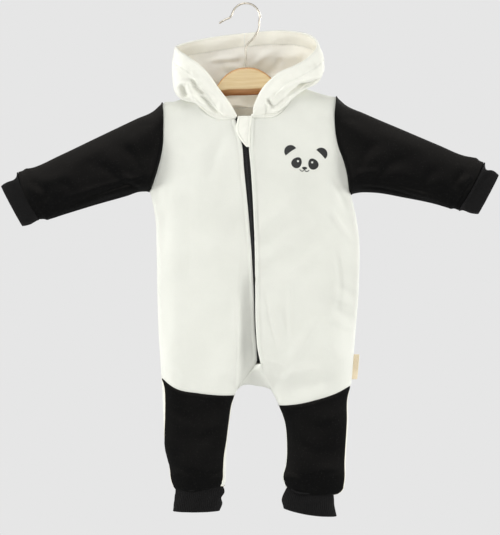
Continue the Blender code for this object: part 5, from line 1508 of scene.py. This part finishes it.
class Finish:
    """A material made from nodes: inputs may be numbers, colours or other nodes' outputs."""

    def __init__(self, name, roughness, **sockets):
        self.material = bpy.data.materials.new(name)
        self.material.use_nodes = True
        self.tree = self.material.node_tree
        self.shader = self.tree.nodes["Principled BSDF"]
        self.shader.inputs["Roughness"].default_value = roughness
        for socket, value in sockets.items():
            self.shader.inputs[socket.replace("_", " ")].default_value = value
        self.place = self.add("ShaderNodeTexCoord").outputs["Object"]

    def add(self, kind, inputs=(), **settings):
        node = self.tree.nodes.new(kind)
        for word, value in settings.items():
            setattr(node, word, value)
        for key, value in dict(inputs).items():
            if isinstance(value, bpy.types.NodeSocket):
                self.tree.links.new(value, node.inputs[key])
            else:
                node.inputs[key].default_value = value
        return node

    def maths(self, operation, *values):
        return self.add("ShaderNodeMath", dict(enumerate(values)), operation=operation).outputs[0]

    def weigh(self, *pairs):
        """The sum of values, each taken times its weight."""
        total = None
        for value, weight in pairs:
            part = self.maths("MULTIPLY", value, weight)
            total = part if total is None else self.maths("ADD", total, part)
        return total

    def noise(self, scale, detail=2.0, stretch=None, roughness=0.5):
        where = self.place
        if stretch is not None:
            where = self.add("ShaderNodeMapping", {"Vector": where, "Scale": stretch}).outputs[0]
        return self.add(
            "ShaderNodeTexNoise", {"Vector": where, "Scale": scale, "Detail": detail, "Roughness": roughness},
        ).outputs["Fac"]

    def between(self, value, low, high, out_low=0.0, out_high=1.0):
        """The value spread from one range over another, and held inside it."""
        return self.add("ShaderNodeMapRange", {
            "Value": value, "From Min": low, "From Max": high, "To Min": out_low, "To Max": out_high,
        }).outputs["Result"]

    def blend(self, first, second, share):
        node = self.tree.nodes.new("ShaderNodeMix")
        node.data_type = "RGBA"
        for socket, value in zip((node.inputs[0], node.inputs[6], node.inputs[7]), (share, first, second)):
            if isinstance(value, bpy.types.NodeSocket):
                self.tree.links.new(value, socket)
            else:
                socket.default_value = value
        return node.outputs[2]

    def coloured(self, colour):
        self.tree.links.new(colour, self.shader.inputs["Base Color"])
        return self

    def bumped(self, height, distance):
        """Relief from a height between 0 and 1, whose full height is a distance in metres."""
        bump = self.add("ShaderNodeBump", {"Height": height, "Distance": distance, "Strength": 1.0})
        previous = self.shader.inputs["Normal"].links
        if previous:
            self.tree.links.new(previous[0].from_socket, bump.inputs["Normal"])
        self.tree.links.new(bump.outputs["Normal"], self.shader.inputs["Normal"])
        return self

    def rough(self, value):
        self.tree.links.new(value, self.shader.inputs["Roughness"])
        return self

    def cloth_place(self):
        """How far across and down the cloth a place is, in millimetres."""
        parts = self.add("ShaderNodeSeparateXYZ", {"Vector": self.add("ShaderNodeUVMap", uv_map="cloth").outputs[0]})
        return [self.maths("MULTIPLY", parts.outputs[k], 100.0) for k in (0, 1)]

    def loops(self, wale, course):
        """Knitted loops: columns of V shapes, as a height from 0 in the gaps to 1 on the yarn."""
        maths = self.maths
        across, down = self.cloth_place()
        column = maths("FRACT", maths("DIVIDE", across, wale))
        aside = maths("MULTIPLY", maths("ABSOLUTE", maths("SUBTRACT", column, 0.5)), 2.0)
        row = maths("FRACT", maths("ADD", maths("DIVIDE", down, course), maths("MULTIPLY", aside, 0.7)))
        yarn = maths("SINE", maths("MULTIPLY", row, math.pi))
        round_column = maths("SINE", maths("MULTIPLY", maths("FRACT", maths("MULTIPLY", aside, 0.98)), math.pi))
        height = maths("ADD", maths("MULTIPLY", round_column, 0.6), 0.4)
        return maths("MULTIPLY", maths("POWER", yarn, 0.6), height)


def rgb(red, green, blue):
    """A colour given as it looks on a screen, 0 to 255, made linear."""
    return (*(((v / 255 + 0.055) / 1.055) ** 2.4 if v > 10 else v / 255 / 12.92 for v in (red, green, blue)), 1.0)


def knit_finish(name, shades, loop, fuzz, painted_top_highlight=None, **sockets):
    """A brushed knit: loops, fluff over them, and soft patches where the nap lies another way. Where the
    cloth faces up, a lighter colour can be blended in, a painted highlight of light from above, with lint specks."""
    made = Finish(name, 0.92, **sockets)
    loops = made.loops(*loop)
    nap = made.noise(16.0, 3.0)
    fluff = made.noise(1100.0, 3.0, roughness=0.65)
    shade = made.weigh((nap, 0.55), (fluff, 0.30), (loops, 0.15))
    colour = made.blend(*shades, made.between(shade, 0.30, 0.70))
    if painted_top_highlight is not None:
        # Painted highlight: the more the cloth faces up, the more of the lighter colour it takes. The lint dots are
        # real specks.
        facing = made.add("ShaderNodeSeparateXYZ", {"Vector": made.add("ShaderNodeNewGeometry").outputs["Normal"]})
        colour = made.blend(colour, painted_top_highlight, made.between(facing.outputs[2], -0.12, 1.0, 0.0, 0.9))
        dots = made.add("ShaderNodeTexVoronoi", {"Vector": made.place, "Scale": 420.0}).outputs["Distance"]
        colour = made.blend(colour, LINT, made.between(dots, 0.13, 0.07, 0.0, 0.22))
    made.coloured(colour)
    made.bumped(made.noise(260.0, 2.0), 0.00022 * fuzz)
    made.bumped(fluff, 0.00010 * fuzz)
    made.bumped(loops, 0.00010)
    return made.material


def rib_finish():
    """Ribbed cuff cloth: fine loops, darker between the ribs, with a little fluff."""
    made = Finish("black_rib_cloth", 0.93, Sheen_Weight=0.04, Sheen_Roughness=0.5, Specular_IOR_Level=0.15)
    loops, fluff = made.loops(1.3, 1.0), made.noise(1200.0, 3.0, roughness=0.65)
    shade = made.weigh((loops, 0.5), (fluff, 0.5))
    made.coloured(made.blend(*BLACK_RIB, made.between(shade, 0.2, 0.85)))
    made.bumped(fluff, 0.00012).bumped(loops, 0.00018)
    return made.material


def woven(made, across_pitch, down_pitch):
    """A plain weave as a height: threads that pass over and under each other in turn."""
    across, down = made.cloth_place()
    one = made.maths("SINE", made.maths("MULTIPLY", across, 2 * math.pi / across_pitch))
    two = made.maths("SINE", made.maths("MULTIPLY", down, 2 * math.pi / down_pitch))
    return made.maths("ADD", made.maths("MULTIPLY", made.maths("MULTIPLY", one, two), 0.5), 0.5)


def tape_finish():
    made = Finish("black_zip_tape", 0.75, Sheen_Weight=0.08)
    weave = woven(made, 0.9, 0.7)
    made.coloured(made.blend(*BLACK_TAPE, weave)).bumped(weave, 0.00012)
    return made.material


def coil_finish():
    made = Finish("black_nylon_coil", 0.42)
    wear = made.noise(900.0, 2.0)
    made.coloured(made.blend(*BLACK_COIL, made.between(wear, 0.35, 0.7)))
    made.rough(made.between(wear, 0.3, 0.7, 0.34, 0.52))
    return made.material


def label_finish():
    """Natural cotton tape: a plain weave with thicker threads here and there."""
    made = Finish("natural_cotton_tape", 0.88, Sheen_Weight=0.05)
    weave = woven(made, 0.62, 0.5)
    slub = made.noise(500.0, 2.0, stretch=(1.0, 1.0, 6.0))
    shade = made.weigh((weave, 0.6), (slub, 0.4))
    made.coloured(made.blend(*LABEL_COTTON, made.between(shade, 0.25, 0.8)))
    made.bumped(slub, 0.00010).bumped(weave, 0.00014)
    return made.material


def ink_finish(name, shades):
    """Printing ink pressed into the knit: a thin film with a fine grain and cracks."""
    made = Finish(name, 0.6)
    grain = made.noise(1400.0, 2.0)
    cracks = made.noise(240.0, 4.0, roughness=0.7)
    shade = made.weigh((grain, 0.5), (cracks, 0.5))
    made.coloured(made.blend(*shades, made.between(shade, 0.42, 0.75)))
    made.rough(made.between(grain, 0.3, 0.7, 0.50, 0.70)).bumped(grain, 0.00008)
    return made.material


def wood_finish():
    """Pale lacquered wood: long streaks and year rings along the hanger, redder and darker where the edges are
    rounded, partly end grain and partly painted shade, and darker still on the underside, a painted shade.
    """
    made = Finish("lacquered_beech", 0.38, Coat_Weight=0.25, Coat_Roughness=0.25)
    streaks = made.noise(30.0, 5.0, stretch=(1.0, 6.0, 14.0), roughness=0.6)
    fine = made.noise(140.0, 3.0, stretch=(0.6, 8.0, 12.0))
    bend = made.noise(9.0, 1.0, stretch=(1.0, 1.0, 3.0))
    place = made.add("ShaderNodeSeparateXYZ", {"Vector": made.place}).outputs[2]
    rings = made.maths("SINE", made.weigh((place, 900.0), (bend, 22.0)))
    grain = made.weigh((streaks, 0.55), (fine, 0.30), (rings, 0.06))
    # The rim's colour is partly end grain and partly painted shade; the underside's colour is a painted shade.
    face, rim, under = (
        made.blend(*shades, made.between(grain, 0.28, 0.58)) for shades in (WOOD_FACE, WOOD_RIM_GRAIN_AND_SHADE, WOOD_UNDER_SHADE)
    )
    tone = made.add("ShaderNodeAttribute", attribute_name="tone").outputs["Fac"]
    colour = made.blend(rim, face, made.between(tone, 0.0, 1.0))
    made.coloured(made.blend(colour, under, made.between(tone, 0.0, -1.0)))
    made.rough(made.between(fine, 0.3, 0.7, 0.33, 0.46)).bumped(fine, 0.00006)
    return made.material


def steel_finish():
    """Bright nickelled steel with fine drawing lines and a few duller patches."""
    made = Finish("nickelled_steel", 0.28, Metallic=1.0)
    lines = made.noise(700.0, 3.0, stretch=(1.0, 1.0, 0.15))
    made.coloured(made.blend(*STEEL, made.between(lines, 0.3, 0.7)))
    made.rough(made.between(lines, 0.3, 0.7, 0.34, 0.46)).bumped(lines, 0.000006)
    return made.material


def floor_finish():
    made = Finish("pale_floor_paint", 0.85)
    grain = made.noise(40.0, 4.0)
    made.coloured(made.blend(*FLOOR, grain)).bumped(grain, 0.0002)
    return made.material


def set_stage():
    """A small pale floor well below the garment, soft lights and the camera."""
    scene = bpy.context.scene
    scene.view_settings.view_transform = "Standard"
    a, b = rounded_section(97, FLOOR_SIDE / 2, FLOOR_SIDE / 2, 0.3)
    rings = [np.stack([a * k, b * k, np.full(97, FLOOR_DOWN + d)], 1) for k, d in FLOOR_RINGS]
    floor = add_closed("studio_floor", np.array(rings))
    floor.data.materials.append(floor_finish())

    world = bpy.data.worlds.new("studio_air")
    world.use_nodes = True
    tree = world.node_tree
    behind = tree.nodes["Background"]
    behind.inputs["Color"].default_value = AIR
    around = tree.nodes.new("ShaderNodeBackground")
    around.inputs["Color"].default_value = AIR
    around.inputs["Strength"].default_value = AIR_LIGHT
    seen, both = tree.nodes.new("ShaderNodeLightPath"), tree.nodes.new("ShaderNodeMixShader")
    tree.links.new(seen.outputs["Is Camera Ray"], both.inputs[0])
    tree.links.new(around.outputs[0], both.inputs[1])
    tree.links.new(behind.outputs[0], both.inputs[2])
    tree.links.new(both.outputs[0], tree.nodes["World Output"].inputs["Surface"])
    scene.world = world

    for name, place, size, share in LIGHTS:
        data = bpy.data.lights.new(name, "AREA")
        away = Vector(place) - Vector(AIM)
        data.shape, data.size, data.energy = "DISK", size, share * math.pi ** 2 * away.length_squared
        light = bpy.data.objects.new(name, data)
        light.location = place
        light.rotation_euler = away.to_track_quat("Z", "Y").to_euler()
        light.visible_camera = False
        scene.collection.objects.link(light)

    data = bpy.data.cameras.new("studio_camera")
    data.sensor_fit, data.sensor_width = "HORIZONTAL", 36.0
    data.lens = 36.0 * (CAMERA_DISTANCE - FRAME_NEAR) / FRAME_WIDTH
    data.clip_start, data.clip_end = 0.1, 50
    camera = bpy.data.objects.new("studio_camera", data)
    camera.location = (CAMERA_X, -CAMERA_DISTANCE, CAMERA_Z)
    camera.rotation_euler = (math.pi / 2, 0, 0)
    scene.collection.objects.link(camera)
    scene.camera = camera


# Colours as they look in soft light, each as its darker and lighter shade.
WHITE_KNIT = rgb(212, 213, 204), rgb(224, 225, 216)
# The hood's and chin guard's knit is lighter than the body's: partly its own warmer tone, partly painted light from
# above.
HOOD_KNIT = rgb(227, 227, 216), rgb(237, 237, 227)
HOOD_CREAM = rgb(249, 246, 233), rgb(254, 252, 243)
HEM_REVERSE = rgb(235, 232, 218), rgb(243, 240, 227)
# The back's wrong side: a cream loop reverse, warmed further by painted bounce light.
KNIT_REVERSE_WITH_BOUNCE = rgb(236, 228, 207), rgb(243, 236, 217)
BLACK_KNIT = rgb(4, 4, 4), rgb(10, 10, 9)
# The black knit's painted highlight where it faces up, and the colour of lint specks.
BLACK_TOP_HIGHLIGHT, LINT = rgb(42, 40, 38), rgb(120, 118, 114)
BLACK_RIB = rgb(9, 9, 9), rgb(20, 19, 19)
WOOD_FACE = rgb(229, 199, 144), rgb(243, 218, 167)
# The rounded edges: partly end grain and partly painted shade. The cut-away underside: painted shade.
WOOD_RIM_GRAIN_AND_SHADE = rgb(198, 142, 88), rgb(216, 163, 106)
WOOD_UNDER_SHADE = rgb(168, 106, 62), rgb(210, 143, 88)
AIR = rgb(230, 230, 230)

BLACK_TAPE = rgb(8, 8, 9), rgb(20, 20, 20)
BLACK_COIL = rgb(8, 8, 9), rgb(24, 24, 25)
LABEL_COTTON = rgb(216, 197, 161), rgb(248, 235, 207)
CHARCOAL_INK = rgb(20, 21, 20), rgb(40, 41, 39)
WHITE_INK = rgb(214, 215, 208), rgb(190, 191, 184)
STEEL = rgb(178, 170, 156), rgb(222, 216, 204)
FLOOR = rgb(226, 226, 226), rgb(234, 234, 234)

# The widths of a column and a row of knitted loops, in millimetres.
FLEECE_LOOP, JERSEY_LOOP = (0.9, 0.75), (0.7, 0.6)

# The floor, in millimetres: its width, its height, and its rings as shares of the width and depths below.
FLOOR_SIDE, FLOOR_DOWN = 2200.0, -950.0
FLOOR_RINGS = (0, 0), (0.5, 0), (0.98, 0), (0.995, -3), (1.0, -10), (0.99, -40), (0.5, -40), (0, -40)

# The camera and the lights, in metres. The camera sees FRAME_WIDTH across at FRAME_NEAR before the middle.
CAMERA_DISTANCE, CAMERA_X, CAMERA_Z, FRAME_WIDTH, FRAME_NEAR = 4.0, 0.0058, -0.3663, 0.693, 0.015
AIM = (0.0, 0.0, -0.36)
AIR_LIGHT = 0.40
# Each light's place, its width, and the share of full white that it lays on a surface that faces it.
LIGHTS = (
    ("front_light", (-0.25, -1.35, 0.02), 1.2, 0.31),
    ("right_light", (-2.3, -0.6, -0.35), 1.2, 0.74),
    ("left_light", (2.3, -0.55, -0.35), 1.2, 0.74),
    ("top_light", (-0.5, -1.3, 2.2), 1.4, 0.33),
    ("back_light", (2.4, 3.2, 0.9), 1.6, 0.62),
)


def main():
    white = knit_finish(
        "white_fleece_knit", WHITE_KNIT, FLEECE_LOOP, 1.0, Sheen_Weight=0.5, Sheen_Roughness=0.45,
    )
    # A lighter copy of the white knit: partly its own warmer tone, partly painted light from above.
    hood_knit = knit_finish(
        "hood_fleece_knit", HOOD_KNIT, FLEECE_LOOP, 1.0, Sheen_Weight=0.4, Sheen_Roughness=0.45,
    )
    # The back's wrong side: its own cream colour plus painted warm bounce light.
    reverse_with_bounce = knit_finish("cream_reverse_with_painted_bounce", KNIT_REVERSE_WITH_BOUNCE, FLEECE_LOOP, 1.0, Sheen_Weight=0.1)
    hem = knit_finish("hood_hem_reverse", HEM_REVERSE, FLEECE_LOOP, 0.8, Sheen_Weight=0.1)
    cream = knit_finish("cream_jersey_lining", HOOD_CREAM, JERSEY_LOOP, 0.7, Sheen_Weight=0.08)
    black = knit_finish(
        "black_fleece_knit", BLACK_KNIT, FLEECE_LOOP, 1.2, BLACK_TOP_HIGHLIGHT, Sheen_Weight=0.02, Sheen_Roughness=0.5,
        Specular_IOR_Level=0.08,
    )
    rib, steel = rib_finish(), steel_finish()
    ink, light_ink = ink_finish("charcoal_ink", CHARCOAL_INK), ink_finish("white_ink", WHITE_INK)
    fronts = make_fronts(white)
    make_leg_fronts(black)
    make_back(white, reverse_with_bounce)
    make_gusset(fronts, white)
    make_cuffs(make_sleeves(black), rib)
    hoods = make_hood(hood_knit, hem, cream)
    make_zip(tape_finish(), coil_finish(), steel)
    guard = make_guard(hood_knit)
    make_label(label_finish())
    make_hanger(wood_finish())
    make_hook(steel)
    make_print(ink, light_ink)
    make_stitches(fronts, hoods, guard, white)
    set_stage()


main()
